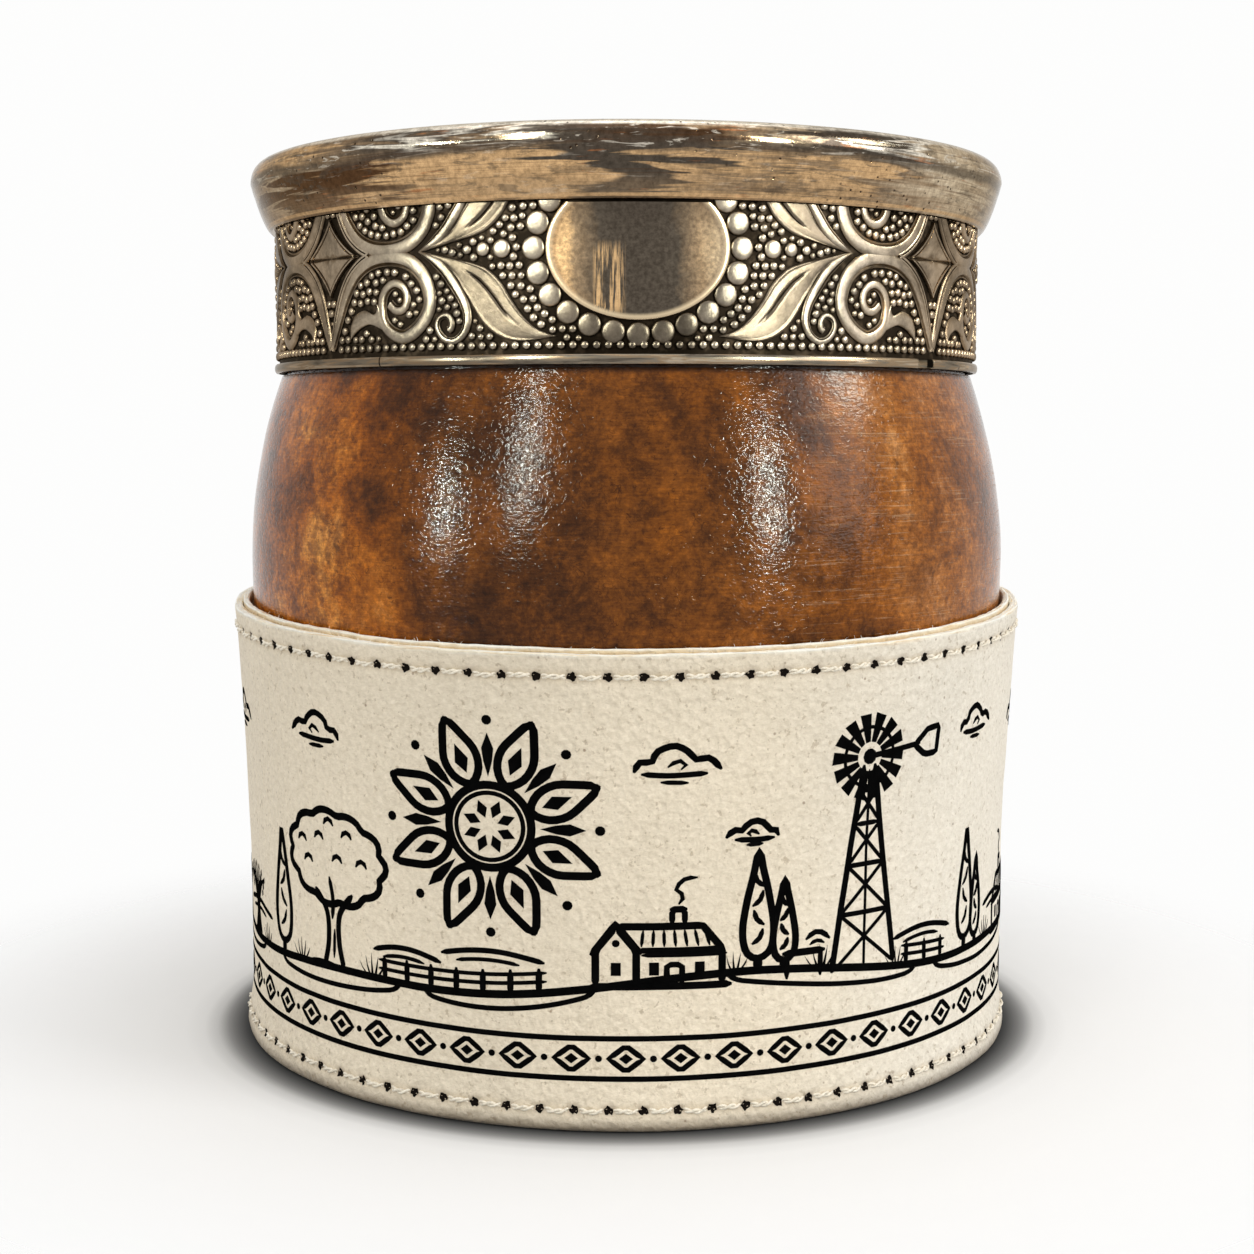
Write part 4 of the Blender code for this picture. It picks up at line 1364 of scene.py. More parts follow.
class MATECUP_OT_sleeve(bpy.types.Operator):
    """Makes the sleeve's two leather plies and the fibres of their cut edge"""

    bl_idname = "mate_cup.sleeve"
    bl_label = "Leather sleeve"

    def execute(self, context):
        edge, grain = colours().leather_edge, sizes().grain
        outer = leather_finish("pale_leather", colours().leather, edge, grain)
        lining = leather_finish("lining_leather", screen(222, 196, 152), edge, grain)
        stitch_zone = [row + np.linspace(-1.1, 1.1, 9) for row in STITCH_ROWS]
        heights = np.concatenate([np.linspace(0.9, SLEEVE_TOP - 0.5, 52), *stitch_zone])
        heights = np.unique(np.round(heights, 2))
        names = ("leather_sleeve", "sleeve_outer", "pale_leather")
        self.make_ply(names, (0, OUTER_PLY), heights, SLEEVE_TOP, outer)
        names = ("leather_lining", "sleeve_lining", "lining_leather")
        top = SLEEVE_TOP + LINING_PROUD
        plies = (OUTER_PLY + PLY_GAP, SLEEVE_WALL)
        self.make_ply(names, plies, np.linspace(0.9, top - 0.5, 24), top, lining)
        self.make_fibres(lining)
        return {"FINISHED"}

    def make_ply(self, names, plies, heights, top, finish):
        """A strap bent round the cup, rounded at both edges by quarter arcs.

        A point's radius is the sleeve's less its inset. The top edge wavers a little, as cut by
        hand.
        """
        (name, node, slot), (face, back) = names, plies
        corner = np.radians(np.linspace(0, 90, 4))
        rim_in, rim_up = EDGE_ROUND * (1 - np.cos(corner)), EDGE_ROUND * np.sin(corner)
        under = np.radians(np.linspace(90, 15, 5))[::-1]
        foot_in, foot_up = FOOT_ROUND * (1 - np.sin(under)), FOOT_ROUND * (1 - np.cos(under))

        # Inset, height and share of cut edge: up the face, over the edge, down the back and under
        stretches = (
            (face, heights, 0),
            (face + rim_in, top - EDGE_ROUND + rim_up, [0.35, 0.8, 1, 1]),
            (np.linspace(face + EDGE_ROUND, back - EDGE_ROUND, 5)[1:-1], top, 1),
            (back - rim_in[::-1], top - EDGE_ROUND + rim_up[::-1], 1),
            (back, np.linspace(top - 1, 1, 12), 0),
            ([back - 0.1], 0.0, 0),
            (face + foot_in, foot_up, 0),
        )
        section = np.concatenate([np.stack(np.broadcast_arrays(*part), axis=1) for part in stretches])
        inset, up, cut = section.T[:, None]
        columns = STITCH_COUNT * 8 + 1
        angle = open_turn(BACK, SEAM_ANGLE, columns)
        shown = (inset < (face + back) / 2) * float(face == 0)
        radius = sleeve_radius(up) - inset + leather_depth(angle, up) * shown
        turns = angle / TURN
        waver = uneven(turns, 0.3, BROAD_WAVER) + uneven(turns, inset / 2, FINE_WAVER)
        points = around(radius, angle, dipped(up, angle) + waver * (up > top - 0.6))
        furrow, dimple = ((dent * shown).ravel() for dent in stitch_dents(angle, up))
        ply = Gathering()
        cut = np.tile(cut[0], columns)
        ply.add(points, *lidded(columns, len(section)), cut=cut, furrow=furrow, dimple=dimple)
        add_piece(name, ply, finish, [node], crease=50)

    def make_fibres(self, finish):
        """Loose fibres: three-sided hairs that leave the cut edge and curl over in any direction."""
        count, steps, columns = sizes().fibres, 4, 3
        random = np.random.default_rng(51)
        angle = random.uniform(BACK + 0.05, BACK + TURN - 0.05, (count, 1))
        root_r = SLEEVE_TOP_RADIUS - random.uniform(*FIBRE_ROOTS, (count, 1))
        proud = np.where(root_r < SLEEVE_TOP_RADIUS - 0.95, LINING_PROUD, 0.0)
        root_z = dipped(SLEEVE_TOP + proud, angle) - 0.1
        length, lean, swing = (random.uniform(*ends, (count, 1)) for ends in FIBRE_REACHES)
        share = np.linspace(0, 1, steps)
        middle_r = root_r + length * swing * 0.5 * share**2
        middle_z = root_z + length * share * (1 - 0.45 * share * np.abs(lean))
        middle = around(middle_r, angle + length * lean * share**1.6 / root_r, middle_z)
        spokes = around(1.0, angle, 0.0), around(1.0, angle + BACK, 0.0)
        hairs = ringed(middle, *spokes, FIBRE_HALF_THICK * (1 - 0.75 * share), columns)
        fuzz = Gathering()
        fuzz.add_copies(hairs, *lidded(steps, columns), cut=np.ones(count))
        add_piece("edge_fibres", fuzz, finish)


# Stitching and lacing


def ringed(path, side, up, radius, columns):
    """Circles round the points of paths shaped (paths, steps, 3), spanned by the vectors side and up."""
    turn = full_turn(columns)[:, None]
    ring = side[:, :, None] * np.cos(turn) + up[:, :, None] * np.sin(turn)
    radius = np.broadcast_to(radius, path.shape[:2])[..., None, None]
    return (path[:, :, None] + ring * radius).reshape(len(path), -1, 3)


def tube(path, radius, columns, upward=(0.0, 0.0, 1.0)):
    """Tubes along paths shaped (tubes, steps, 3): circles square to each path."""
    along = np.gradient(path, axis=1)
    along /= np.linalg.norm(along, axis=2, keepdims=True)
    side = np.cross(along, upward)
    side /= np.linalg.norm(side, axis=2, keepdims=True)
    return ringed(path, side, np.cross(side, along), radius, columns)


class MATECUP_OT_stitching(bpy.types.Operator):
    """Makes the linen stitches of both edges, with their holes"""

    bl_idname = "mate_cup.stitching"
    bl_label = "Edge stitching"

    def execute(self, context):
        finish = thread_finish(colours().thread)
        # The holes are dark patches on the leather: painted shade where the holes go in.
        dark = matte_finish("hole_shade", screen(18, 12, 8), 900, roughness=0.95, gloss=0.05)
        for row, node in zip(STITCH_ROWS, ("bottom_stitching", "top_stitching")):
            add_piece("linen_" + node, self.stitches(row), finish, [node], crease=70)
        holes = Gathering()
        for index, row in enumerate(STITCH_ROWS):
            self.punch_holes(holes, row, 61 + index)
        add_piece("stitch_hole_shade", holes, dark)
        return {"FINISHED"}

    def stitches(self, row):
        """Two plies twisted round each other: a helix round an arc that dives into both holes."""
        made, count, columns = Gathering(), 11, 6
        ply = sizes().thread / MM / 2
        random = np.random.default_rng(int(row * 10))
        starts = hole_angles()[:-1, None]
        steps = np.linspace(0, 1, count)
        angle = starts + STITCH_ANGLE * (STITCH_START + STITCH_SHARE * steps)
        height = row + random.uniform(*STITCH_SAG, starts.shape) * np.sin(steps * math.pi)
        rise = STITCH_RISE * (np.sin(steps * math.pi) ** 0.5) - STITCH_DIVE
        thick = ply * (1.05 - 0.5 * np.abs(2 * steps - 1) ** 6)
        for phase in (0.0, math.pi):
            twist = phase + steps * TURN * STITCH_TWIST + random.uniform(0, 0.8, starts.shape)
            radius = leather_face(angle, height) + rise + ply * PLY_LIFT * np.cos(twist)
            path = around(radius, angle, dipped(height + ply * PLY_SPREAD * np.sin(twist), angle))
            made.add_copies(tube(path, thick, columns), *lidded(count, columns))
        return made

    def punch_holes(self, holes, row, seed):
        """Each hole is a ragged star: its reach swings with the angle, a little differently each time."""
        random = np.random.default_rng(seed)
        angles, columns = hole_angles()[:, None], 14
        turn = full_turn(columns)
        fives, threes = random.uniform(0, TURN, (2, *angles.shape))
        ragged = 0.84 + 0.13 * np.cos(5 * turn + fives) + 0.1 * np.cos(3 * turn + threes)
        reach = HOLE_REACH * (ragged + random.uniform(-0.1, 0.1, ragged.shape))
        rings = []
        for share, lift in HOLE_RINGS:
            across = angles + reach * share * np.cos(turn) / SLEEVE_TOP_RADIUS
            rings.append(on_leather(across, row + reach * share * np.sin(turn) * 0.95, lift))
        forms = np.stack(rings, axis=1).reshape(len(angles), -1, 3)
        holes.add_copies(forms, *lidded(len(rings), columns, 1))


class MATECUP_OT_lacing(bpy.types.Operator):
    """Makes the lace that closes the sleeve's butted ends"""

    bl_idname = "mate_cup.lacing"
    bl_label = "Back lacing"

    def execute(self, context):
        finish = leather_finish("lace_leather", screen(196, 168, 124), screen(170, 136, 92), 2.0)
        low, high = LACE_MARGIN, SLEEVE_TOP - LACE_MARGIN
        crossings = round((high - low) / LACE_PITCH)
        hole = np.arange(crossings + 1)[:, None]
        middle = low + (high - low) * hole / crossings
        side = np.where(hole % 2, LACE_HALF_WIDTH, -LACE_HALF_WIDTH)
        count, columns = 13, 8
        steps = np.linspace(0, 1, count)
        thick = LACE_HALF_THICK * (1 - 0.35 * np.abs(2 * steps - 1) ** 5)
        lace = Gathering()

        # Slanted stretches lead from each hole to the next; upright ones cover the hole itself
        for onward, lift in zip((1, 0), LACE_LIFTS):
            half = LACE_TURN / 2 if onward else -LACE_TURN / 2
            last = len(hole) - onward
            z = (middle[:last] + half) * (1 - steps) + (middle[onward:] - half) * steps
            across = side[:last] * (1 - steps) + side[onward:] * steps
            angle = BACK + across / sleeve_radius(z)
            radius = sleeve_radius(z) + lift * np.sin(steps * math.pi) ** 0.4
            forms = tube(around(radius, angle, dipped(z, angle)), thick, columns, (0.0, 1.0, 0.0))
            lace.add_copies(forms, *lidded(count, columns), cut=np.zeros(last))
        add_piece("back_lace", lace, finish, ["seam_lacing"], crease=60)
        return {"FINISHED"}


# Drawing


class Drawing:
    """Inked lines and spots, as (arc, height) points on the unrolled sleeve.

    Points are given in the units of the current motif: they are scaled, mirrored where flip is
    -1, and moved to the motif's place.
    """

    def __init__(self):
        self.lines, self.spots = [], []
        self.begin()

    def begin(self, place=(0.0, 0.0), size=1.0, flip=1):
        self.place, self.size, self.scale = place, size, (size * flip, size)

    def placed(self, points):
        return np.asarray(points, float) * self.scale + self.place

    def line(self, points, width, closed=False):
        points = self.placed(points)
        if closed:
            points = np.concatenate([points, points[:1]])
        self.lines.append((even_path(points, stroke_steps(points)), width, closed))

    def curve(self, points, width, closed=False):
        self.bend(self.placed(points), width, closed)

    def bend(self, points, width, closed):
        self.lines.append((smooth_path(points, stroke_steps(points), closed), width, closed))

    def circle(self, middle, reach, steps):
        """Points round a middle; the reach is in millimetres."""
        return ellipse(full_turn(steps)) * reach + self.placed(middle)

    def ring(self, middle, reach, width, steps):
        self.bend(self.circle(middle, reach, steps), width, True)

    def spot(self, outline):
        self.spots.append(self.placed(outline))

    def dot(self, middle, reach):
        self.spots.append(self.circle(middle, reach, 10))


def stroke_steps(points):
    """Number of points that a stroke gets: one for every 0.55 mm."""
    return int(np.clip(run_length(points)[-1] / 0.55, 5, 400))


def spun(points, angle, middle=(0.0, 0.0)):
    """Points turned about the origin and moved to a middle."""
    x, y = np.moveaxis(np.asarray(points, float), -1, 0)
    c, s = math.cos(angle), math.sin(angle)
    return pairs(x * c - y * s, x * s + y * c) + middle


PETAL = [
    (0.4, 0), (0.5, 0.115), (0.66, 0.15), (0.82, 0.1), (1.0, 0), (0.82, -0.1), (0.66, -0.15), (0.5, -0.115),
]
TREE_LEAVES = (
    (-0.24, 0.62), (-0.12, 0.78), (0.05, 0.66), (0.14, 0.82), (0.26, 0.66), (-0.02, 0.88), (-0.3, 0.74),
)
PETAL_HEART = [(0.5, 0), (0.62, 0.065), (0.78, 0), (0.62, -0.065)]
PETAL_ROOT = [(0.08, 0), (0.16, 0.05), (0.25, 0), (0.16, -0.05)]
DART = [(0.44, 0), (0.58, 0.04), (0.7, 0.055), (0.84, 0), (0.7, -0.055), (0.58, -0.04)]


def rosette(drawing):
    """Eight outlined petals with dark hearts, darts between them, and a ring of dots."""
    for k in range(8):
        angle = k * TURN / 8 + TURN / 16
        between = angle + TURN / 16
        drawing.curve(spun(PETAL, angle), 1.1, closed=True)
        drawing.dot(spun((0.99, 0), angle), 0.5)
        drawing.spot(spun(PETAL_HEART, angle))
        drawing.spot(spun(DART, between))
        drawing.dot(spun((0.95, 0), between), 0.045 * drawing.size)
        drawing.spot(spun(PETAL_ROOT, angle))
    drawing.ring((0, 0), 0.37 * drawing.size, 1.1, 24)
    drawing.ring((0, 0), 0.3 * drawing.size, 0.6, 24)


def round_tree(drawing):
    """A round-crowned tree: scalloped crown, forked trunk and a few marks for leaves."""
    lobes = 11
    turn = full_turn(lobes * 4)
    swell = 1 + 0.09 * np.abs(np.cos(lobes * turn / 2))
    crown = pairs(0.42 * np.cos(turn) * swell, 0.68 + 0.27 * np.sin(turn) * swell)
    drawing.curve(crown, 1.05, closed=True)
    drawing.curve([(-0.09, 0), (-0.05, 0.16), (-0.06, 0.34), (-0.17, 0.47)], 1.0)
    drawing.curve([(0.09, 0), (0.05, 0.16), (0.06, 0.34), (0.18, 0.48)], 1.0)
    drawing.curve([(-0.01, 0.3), (0.0, 0.42), (-0.03, 0.56)], 0.8)
    drawing.line([(0.0, 0.06), (0.01, 0.24)], 0.6)
    for x, y in TREE_LEAVES:
        drawing.curve([(x - 0.045, y), (x - 0.02, y + 0.035), (x + 0.02, y + 0.035), (x + 0.045, y)], 0.7)
    drawing.curve([(-0.24, 0.0), (-0.08, 0.015), (0.1, -0.005), (0.26, 0.01)], 0.8)


def cypress(drawing, wide=0.13):
    """A slender cypress: flame outline, curled strokes inside and a short stem."""
    sides = [
        (0, 0.1), (0.8, 0.17), (1, 0.36), (0.7, 0.62), (0.3, 0.84), (0.0, 1.0), (-0.35, 0.8), (-0.75, 0.58),
        (-1, 0.34), (-0.75, 0.16),
    ]
    drawing.curve([(x * wide, y) for x, y in sides], 1.0, closed=True)
    for start, lean in ((0.22, 1), (0.38, -1), (0.54, 1), (0.7, -1)):
        x = lean * wide
        drawing.curve([(-x * 0.4, start), (x * 0.1, start + 0.05), (x * 0.3, start + 0.13)], 0.7)
    drawing.line([(0, 0.0), (0, 0.12)], 1.3)


def windpump(drawing):
    """A wind-driven pump: braced tower, bladed wheel, tail vane and trough."""
    hub = (0.0, 0.83)
    for side in (-1, 1):
        drawing.line([(side * 0.15, 0), (side * 0.025, 0.8)], 0.95)
    levels = [0.0, 0.22, 0.41, 0.57, 0.7]
    for low, high in zip(levels, levels[1:]):
        half_low, half_high = 0.15 - 0.156 * low, 0.15 - 0.156 * high
        drawing.line([(-half_high, high), (half_high, high)], 0.7)
        drawing.line([(-half_low, low), (half_high, high)], 0.55)
        drawing.line([(half_low, low), (-half_high, high)], 0.55)
    blade = [(0.055, -0.012), (0.165, -0.033), (0.172, 0.018), (0.055, 0.01)]
    for k in range(14):
        drawing.spot(spun(blade, k * TURN / 14, hub))
    drawing.ring(hub, 0.115 * drawing.size, 0.5, 20)
    drawing.dot(hub, 0.032 * drawing.size)
    drawing.line([hub, (0.26, 0.85)], 0.8)
    drawing.line([(0.23, 0.845), (0.3, 0.9), (0.37, 0.905), (0.36, 0.8), (0.29, 0.8)], 0.9, closed=True)
    drawing.line([(0.0, 0.0), (0.0, 0.78)], 0.45)
    drawing.line([(-0.2, 0.0), (-0.2, 0.1), (-0.34, 0.1), (-0.34, 0.0)], 0.8)
    drawing.line([(-0.36, 0.1), (-0.18, 0.1)], 1.0)


def farmhouse(drawing):
    """A low farmhouse: gable end, long tiled roof, door, shuttered windows and a smoking chimney."""
    arc, ground = drawing.place
    drawing.place = (arc, ground + 0.2)
    strokes = (
        ([(0, 0), (0, 0.3), (0.16, 0.5), (0.32, 0.3), (0.32, 0)], 1.0),
        ([(0.16, 0.5), (0.84, 0.5), (1.0, 0.3), (1.0, 0)], 1.0),
        ([(-0.04, 0.26), (0.16, 0.53), (0.36, 0.27)], 0.8),
        ([(0.32, 0.3), (1.0, 0.3)], 0.8),
        ([(0.36, 0.26), (1.04, 0.26)], 0.6),
        ([(-0.05, 0), (1.08, 0)], 1.0),
        ([(0.6, 0.5), (0.6, 0.64), (0.7, 0.64), (0.7, 0.5)], 0.8),
        ([(0.58, 0.64), (0.72, 0.64)], 0.9),
        ([(0.56, 0), (0.56, 0.18), (0.68, 0.18), (0.68, 0)], 0.8),
    )
    for points, width in strokes:
        drawing.line(points, width)
    for x in np.arange(0.36, 0.98, 0.09):
        drawing.line([(x, 0.33), (x - 0.1 * (x - 0.5), 0.47)], 0.45)
    for x in (0.42, 0.78, 0.12):
        drawing.spot([(x, 0.09), (x + 0.08, 0.09), (x + 0.08, 0.2), (x, 0.2)])
    drawing.dot((0.16, 0.36), 0.032 * drawing.size)
    drawing.curve([(0.65, 0.68), (0.69, 0.75), (0.63, 0.81), (0.7, 0.89), (0.8, 0.9)], 0.6)


def fence(drawing, tall=2.6):
    """Posts and two rails along the ground line, as far as the motif's size."""
    start = drawing.place[0]
    posts = np.arange(start, start + drawing.size, 2.9)
    drawing.begin()
    for arc in posts:
        low = ground_line(arc)
        drawing.line([(arc, low - 0.1), (arc, low + tall)], 0.85)
    rail = np.linspace(start - 0.8, posts[-1] + 0.8, 12)
    for share in (0.45, 0.8):
        drawing.curve(pairs(rail, ground_line(rail) + tall * share), 0.55)


def cloud(drawing):
    """An open cloud of arcs with a curl inside."""
    top = [
        (-0.5, 0.0), (-0.44, 0.12), (-0.3, 0.13), (-0.24, 0.25), (-0.04, 0.32), (0.12, 0.24), (0.2, 0.15),
        (0.36, 0.16), (0.5, 0.02),
    ]
    drawing.curve(top, 0.9)
    drawing.curve([(-0.42, -0.02), (-0.1, -0.04), (0.34, -0.02)], 0.75)
    drawing.curve([(-0.12, 0.06), (0.0, 0.14), (0.09, 0.08), (0.03, 0.03)], 0.6)
    drawing.line([(-0.2, -0.12), (0.12, -0.13)], 0.6)


def sheaf(drawing):
    """A tied sheaf of wheat: stalks that fan out from the tie, each with an ear of grains."""
    for lean in np.linspace(-1, 1, 7):
        tip = (lean * 0.42, 0.9 - 0.12 * lean**2)
        drawing.curve([(lean * 0.2, 0), (lean * 0.05, 0.36), (lean * 0.24, 0.68), tip], 0.6)
        for back in (0.0, 0.1, 0.2):
            grain = [(0.05 - back, 0.0), (-0.01 - back, 0.035), (-0.07 - back, 0.0), (-0.01 - back, -0.035)]
            drawing.spot(spun(grain, math.pi / 2 - lean * 0.55, tip))
    drawing.line([(-0.09, 0.37), (0.09, 0.37)], 1.2)
    drawing.line([(-0.08, 0.32), (0.08, 0.32)], 0.8)


def tuft(drawing):
    """A tuft of grass: tapering blades that lean out from one root."""
    for lean, reach in ((-0.75, 0.6), (-0.4, 0.85), (-0.08, 1.0), (0.28, 0.9), (0.62, 0.65)):
        root = [(lean * 0.35 - 0.07, 0), (lean * 0.35 + 0.07, 0)]
        tip = [(lean * 0.8 + 0.02, reach * 0.55), (lean, reach), (lean * 0.72 - 0.05, reach * 0.5)]
        drawing.spot(root + tip)


def ground_line(arc):
    """Height of the near hills: two slow waves along the arc."""
    return 14.2 + 1.5 * np.sin(arc / 17.0 + 0.9) + 0.6 * np.sin(arc / 7.3)


def border(drawing, height=7.6, pitch=5.4):
    """Two thin rules with lozenges and dots between them."""
    for rule in (5.5, 9.7):
        drawing.line(pairs(np.linspace(-DRAWING_REACH, DRAWING_REACH, 120), rule), 0.75)
    diamond = np.array([(1.7, 0), (0, 1.35), (-1.7, 0), (0, -1.35)])
    middles = np.arange(-24, 25) * pitch
    for arc in middles[np.abs(middles) < DRAWING_REACH - 2]:
        drawing.begin((arc, height))
        drawing.line(diamond, 0.75, closed=True)
        drawing.spot(diamond * 0.42)
        drawing.dot((pitch / 2, 0), 0.36)


# Banks under the ground line and hills behind it: first arc, last arc, depth or rise
BANKS = (
    (-44, -24, 1.5), (-21, -3, 1.2), (10, 33, 1.4), (36, 58, 1.3), (66, 92, 1.4), (98, 126, 1.2),
    (-70, -50, 1.3), (-100, -76, 1.4), (-128, -104, 1.2),
)
HILLS = (
    (-27.5, -19, 2.9), (-19, -8, 3.6), (18.4, 21.2, 3.0), (29.5, 39, 3.2), (48, 57, 3.4), (-58, -47, 3.3),
    (71, 79, 3.2), (-94, -88, 3.4),
)

# Motifs, each with its places: an arc on the ground or a point in the sky, then size and flip
MOTIFS = (
    (rosette, ((-13.5, 31.3), 11.6)),
    (windpump, (25.5, 27.0)),
    (farmhouse, (-3.0, 12.5)),
    (round_tree, (-33.5, 17.5)),
    (cypress, (-43.5, 14), (13.2, 12.5), (16.0, 9.5), (42.5, 13.5), (45.4, 10)),
    (fence, (-26, 20), (31.5, 8.5)),
    (tuft, (-39.3, 2.4), (-27.6, 2.6), (10.8, 2.2), (20.2, 2.6), (30.0, 2.2), (48.6, 2.4), (59.5, 2.5)),
    (tuft, (-49, 2.3), (95, 2.4), (-74, 2.4), (-102, 2.5)),
    (cloud, ((5.0, 37.3), 8.5), ((-35.5, 38.3), 8.0, -1), ((43.5, 38.0), 7.5), ((12.5, 30.2), 5.5, -1)),
    (farmhouse, (64.0, 12.0, -1)),
    (round_tree, (72.5, 15.5, -1)),
    (rosette, ((93.0, 31.0), 9.0)),
    (sheaf, (86.5, 9.5), (101.0, 8.0)),
    (windpump, (116.0, 23.0, -1)),
    (cypress, (126.0, 13.0)),
    (sheaf, (-53.5, 9.0), (-61.0, 7.5)),
    (rosette, ((-75.0, 30.5), 9.0)),
    (round_tree, (-88.0, 12.5)),
    (cypress, (-96.0, 12.0), (-99.5, 15.0), (-127.5, 12.5)),
    (farmhouse, (-119.0, 13.0)),
    (fence, (76, 8), (104, 8), (-73, 7)),
    (cloud, ((60, 36.5), 8.0, -1), ((76, 38.0), 7.0), ((126.5, 36.5), 6.5), ((-57, 37.0), 8.5)),
    (cloud, ((-96, 36.5), 8.0, -1), ((-112, 33.5), 7.0)),
)


def landscape(drawing):
    """The whole drawing round the sleeve: hills, motifs and a border of lozenges."""
    arc = np.linspace(-DRAWING_REACH, DRAWING_REACH, 150)
    drawing.curve(pairs(arc, ground_line(arc)), 1.1)
    for start, end, drop in BANKS:
        arc = np.linspace(start, end, 20)
        lower = ground_line(arc) - drop * np.sin(np.linspace(0, math.pi, 20)) ** 0.5 - 0.3
        drawing.curve(pairs(arc, lower), 0.7)
    for start, end, rise in HILLS:
        arc = np.linspace(start, end, 14)
        far = ground_line((start + end) / 2) + rise + 0.9 * np.sin(np.linspace(0.2, math.pi, 14))
        drawing.curve(pairs(arc, far), 0.75)
        drawing.curve(pairs(arc, far - 0.95)[2:-3], 0.55)
    for motif, *places in MOTIFS:
        for place, *sizing in places:
            drawing.begin(place if isinstance(place, tuple) else (place, ground_line(place)), *sizing)
            motif(drawing)
    drawing.begin()
    border(drawing)


# A line's section and a spot's rings: share of the half width or the outline, and lift
INK_SECTION = ((-1.0, -0.05), (-0.8, 0.03), (0.0, 0.045), (0.8, 0.03), (1.0, -0.05))
SPOT_RINGS = ((1.0, -0.05), (0.97, 0.035), (0.5, 0.045), (0.0, 0.05))


class MATECUP_OT_drawing(bpy.types.Operator):
    """Inks the drawing on the sleeve"""

    bl_idname = "mate_cup.drawing"
    bl_label = "Drawing"

    def execute(self, context):
        drawing, ink = Drawing(), Gathering()
        landscape(drawing)
        pen = sizes().line / MM / 2
        for path, width, closed in drawing.lines:
            self.ink_line(ink, path, pen * width, closed)
        for outline in drawing.spots:
            self.ink_spot(ink, outline)
        tone = colours().ink
        finish = matte_finish("pressed_ink", tone, 700, depth=0.03, spread=0.4, roughness=1.0, gloss=0.0)
        add_piece("leather_drawing", ink, finish, crease=60)
        return {"FINISHED"}

    def ink_line(self, ink, path, half, closed):
        """A low ribbon along a path: rounded across, with ends drawn in to a round point."""
        if closed:
            path = path[:-1]
            along = np.roll(path, -1, axis=0) - np.roll(path, 1, axis=0)
            reach = np.full((len(path), 1), half)
        else:
            run = run_length(path)[:, None]
            along = np.gradient(path, axis=0)
            inward = np.minimum(run, run[-1] - run) / half
            reach = half * np.sqrt(np.clip(1 - held(1 - inward) ** 2, 0.12, 1))
        across, lifts = np.array(INK_SECTION).T
        flat = path[:, None] + (left_of(along) * reach)[:, None] * across[:, None]
        faces = [grid_quads(len(path), len(across), loop=True)] if closed else lidded(len(path), len(across))
        ink.add(self.inked(flat, lifts), *faces)

    def ink_spot(self, ink, outline):
        """A filled spot: its outline drawn in towards its middle by shares."""
        ends = zip(outline, np.roll(outline, -1, axis=0))
        edge = np.concatenate([even_path(pair, 4)[:-1] for pair in ends])
        shares, lifts = np.array(SPOT_RINGS).T
        flat = drawn_in(edge, edge.mean(axis=0), shares)
        ink.add(self.inked(flat, lifts[:, None]), *lidded(len(lifts), len(edge), 1))

    def inked(self, flat, lifts):
        """Puts (arc, height) points on the sleeve."""
        return on_leather(FRONT + flat[..., 0] / DRAWING_RADIUS, flat[..., 1], lifts)


# Foot and hidden pieces


class MATECUP_OT_foot(bpy.types.Operator):
    """Finishes the sole, the insole and the cement, whose solids stay"""

    bl_idname = "mate_cup.foot"
    bl_label = "Sole, insole and cement"

    def execute(self, context):
        finishes = {
            "sole": matte_finish("tanned_sole", screen(176, 132, 84), 160, depth=0.12),
            "insole": matte_finish("insole_board", screen(150, 122, 88), 300, depth=0.1),
            "lip_bedding": matte_finish("mouth_cement", screen(150, 144, 136), 500, depth=0.1, spread=0.15),
        }
        for node, finish in finishes.items():
            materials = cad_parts[node].data.materials
            materials.clear()
            materials.append(finish)
        return {"FINISHED"}


# Stage

# Bearing and elevation in degrees, distance, width and height in metres, and power in watts
LAMPS = {
    "strip_left": (-53, 11.5, 0.62, 0.007, 0.15, 1.9),
    "strip_front_left": (-30, 24, 0.62, 0.012, 0.3, 2.6),
    "strip_right": (41, 15, 0.62, 0.016, 0.26, 3.4),
    "strip_far_right": (79, 34, 0.62, 0.1, 0.14, 1.6),
    "soft_front": (-22, 30, 0.8, 0.5, 0.5, 1.1),
    "soft_right": (66, 22, 0.8, 0.3, 0.5, 2.2),
    "soft_top": (0, 80, 0.9, 0.9, 0.9, 2.2),
}
LAMP_AIM = Vector((0, 0, 0.055))
STRIP_COLOUR = (0.94, 1.0, 0.9)
SOFT_COLOUR = (1.0, 0.992, 0.985)


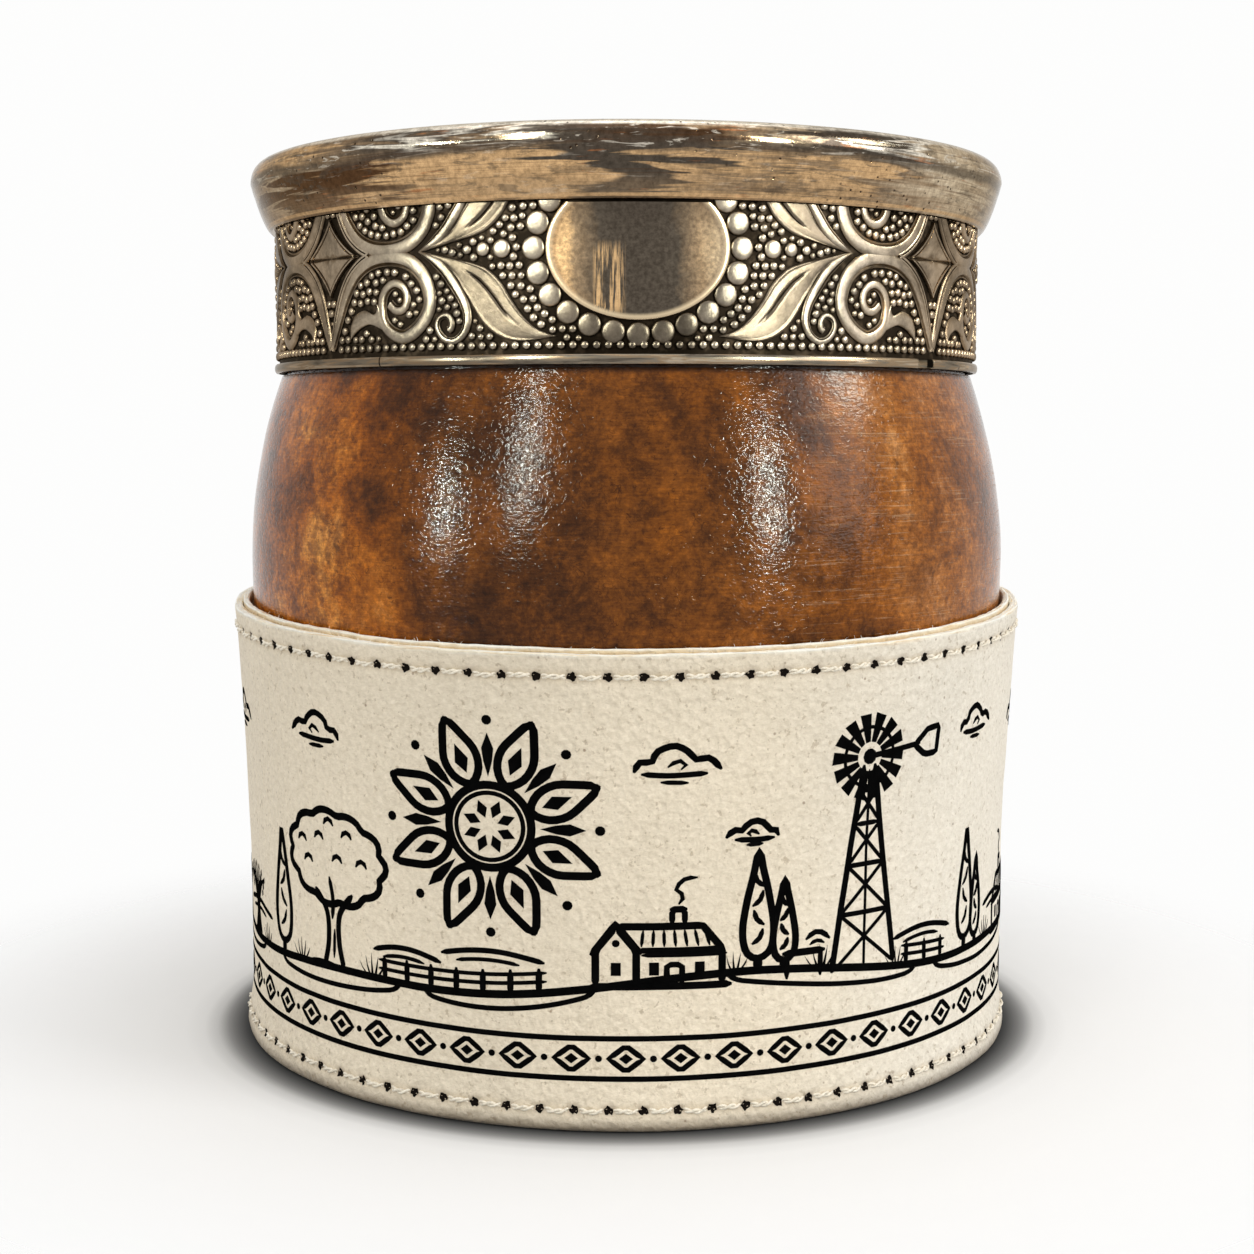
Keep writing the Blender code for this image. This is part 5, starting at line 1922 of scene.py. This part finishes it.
class MATECUP_OT_stage(bpy.types.Operator):
    """Makes the floor, the lamps, the surroundings and the camera"""

    bl_idname = "mate_cup.stage"
    bl_label = "Stage"

    def execute(self, context):
        self.make_floor()
        self.make_world()
        self.make_lamps()
        self.make_camera()
        context.scene.view_settings.view_transform = "Standard"
        return {"FINISHED"}

    def make_floor(self):
        """A round floor with a painted contact shadow near the foot, clear farther out."""
        columns = 96
        points = around(np.array(FLOOR_RADII)[:, None], full_turn(columns), FLOOR_DROP).reshape(-1, 3)
        mesh = bpy.data.meshes.new("floor")
        quads, lids = lidded(len(FLOOR_RADII), columns, 1)
        mesh.from_pydata(points.tolist(), [], quads[:, ::-1].tolist() + [lids[0].tolist()])
        f = Finish("pale_floor")
        # Painted shadow: the floor darkens towards the foot.
        contact_shadow = (f.radius - FOOT_EDGE * MM).span(0.0, 0.04).ramp(
            (0.0, 0.05), (0.015, 0.3), (0.03, 0.66), (0.055, 0.88), (0.1, 0.96), (0.2, 0.985), (0.5, 1.0)
        )
        f.done(Base_Color=f.times(1.0, colours().floor, contact_shadow), Roughness=0.9, Specular_IOR_Level=0.1)
        clear = f.node("BsdfTransparent").outputs[0]
        far = f.radius.span(0.052, 0.105)
        blend = f.node("MixShader", {0: far, 1: f.shader.outputs[0], 2: clear}).outputs[0]
        f.feed(f.tree.nodes["Material Output"].inputs["Surface"], blend)
        mesh.materials.append(f.material)
        floor = link_object("floor", mesh)

    def make_world(self):
        """White to the camera, in reflections and through what is clear; else a softer light."""
        world = bpy.data.worlds.new("pale_room")
        world.use_nodes = True
        world.node_tree.nodes.clear()
        n = Nodes(world.node_tree)
        rays = n.node("LightPath").outputs
        seen = n.math("MAXIMUM", rays["Is Camera Ray"], rays["Is Glossy Ray"])
        seen = n.math("MAXIMUM", seen, rays["Is Transmission Ray"])
        light = n.node("Background", {"Color": (1.0, 0.995, 0.985), "Strength": 0.66}).outputs[0]
        white = n.node("Background", {"Color": (0.985, 0.985, 0.98), "Strength": 1.0}).outputs[0]
        blend = n.node("MixShader", {0: seen, 1: light, 2: white}).outputs[0]
        n.node("OutputWorld", {"Surface": blend})
        bpy.context.scene.world = world

    def make_lamps(self):
        """Area lamps that face the cup's middle; the strips only show as highlights."""
        for name, (bearing, elevation, distance, width, height, power) in LAMPS.items():
            strip = name.startswith("strip")
            lamp = bpy.data.lights.new(name, "AREA")
            lamp.shape = "RECTANGLE"
            lamp.size, lamp.size_y = width, height
            lamp.energy = power
            lamp.color = STRIP_COLOUR if strip else SOFT_COLOUR
            side, up = math.radians(bearing), math.radians(elevation)
            direction = Vector((math.sin(side) * math.cos(up), -math.cos(side) * math.cos(up), math.sin(up)))
            holder = link_object(name, lamp)
            holder.location = LAMP_AIM + direction * distance
            holder.rotation_euler = direction.to_track_quat("Z", "Y").to_euler()
            holder.visible_diffuse = not strip
            holder.visible_glossy = name != "soft_front"

    def make_camera(self):
        camera = bpy.data.cameras.new("camera")
        camera.lens = CAMERA_LENS
        camera.sensor_width = CAMERA_SENSOR
        camera.clip_start = CAMERA_NEAREST
        holder = link_object("camera", camera)
        holder.location = CAMERA_PLACE
        holder.rotation_euler = Euler((CAMERA_PITCH, 0, 0))
        bpy.context.scene.camera = holder


# Panel and registration


class MATECUP_PT_panel(bpy.types.Panel):
    """Lists the steps that finish the cup, with their sizes and colours"""

    bl_idname = "MATECUP_PT_panel"
    bl_label = "Mate Cup"
    bl_space_type = "VIEW_3D"
    bl_region_type = "UI"
    bl_category = "Mate Cup"

    def draw(self, context):
        layout = self.layout
        for operator in OPERATORS:
            layout.operator(operator.bl_idname)
        for group in (context.scene.mate_cup_sizes, context.scene.mate_cup_colours):
            box = layout.box()
            for name in group.__annotations__:
                box.prop(group, name)


OPERATORS = (
    MATECUP_OT_gourd,
    MATECUP_OT_band,
    MATECUP_OT_trim,
    MATECUP_OT_rim,
    MATECUP_OT_sleeve,
    MATECUP_OT_stitching,
    MATECUP_OT_lacing,
    MATECUP_OT_drawing,
    MATECUP_OT_foot,
    MATECUP_OT_stage,
)
CLASSES = (MateCupSizes, MateCupColours, *OPERATORS, MATECUP_PT_panel)


def register():
    for part in CLASSES:
        bpy.utils.register_class(part)
    bpy.types.Scene.mate_cup_sizes = bpy.props.PointerProperty(type=MateCupSizes)
    bpy.types.Scene.mate_cup_colours = bpy.props.PointerProperty(type=MateCupColours)


def unregister():
    del bpy.types.Scene.mate_cup_colours
    del bpy.types.Scene.mate_cup_sizes
    for part in reversed(CLASSES):
        bpy.utils.unregister_class(part)


def main():
    register()
    for operator in OPERATORS:
        group, name = operator.bl_idname.split(".")
        getattr(getattr(bpy.ops, group), name)()


if __name__ == "__main__":
    main()
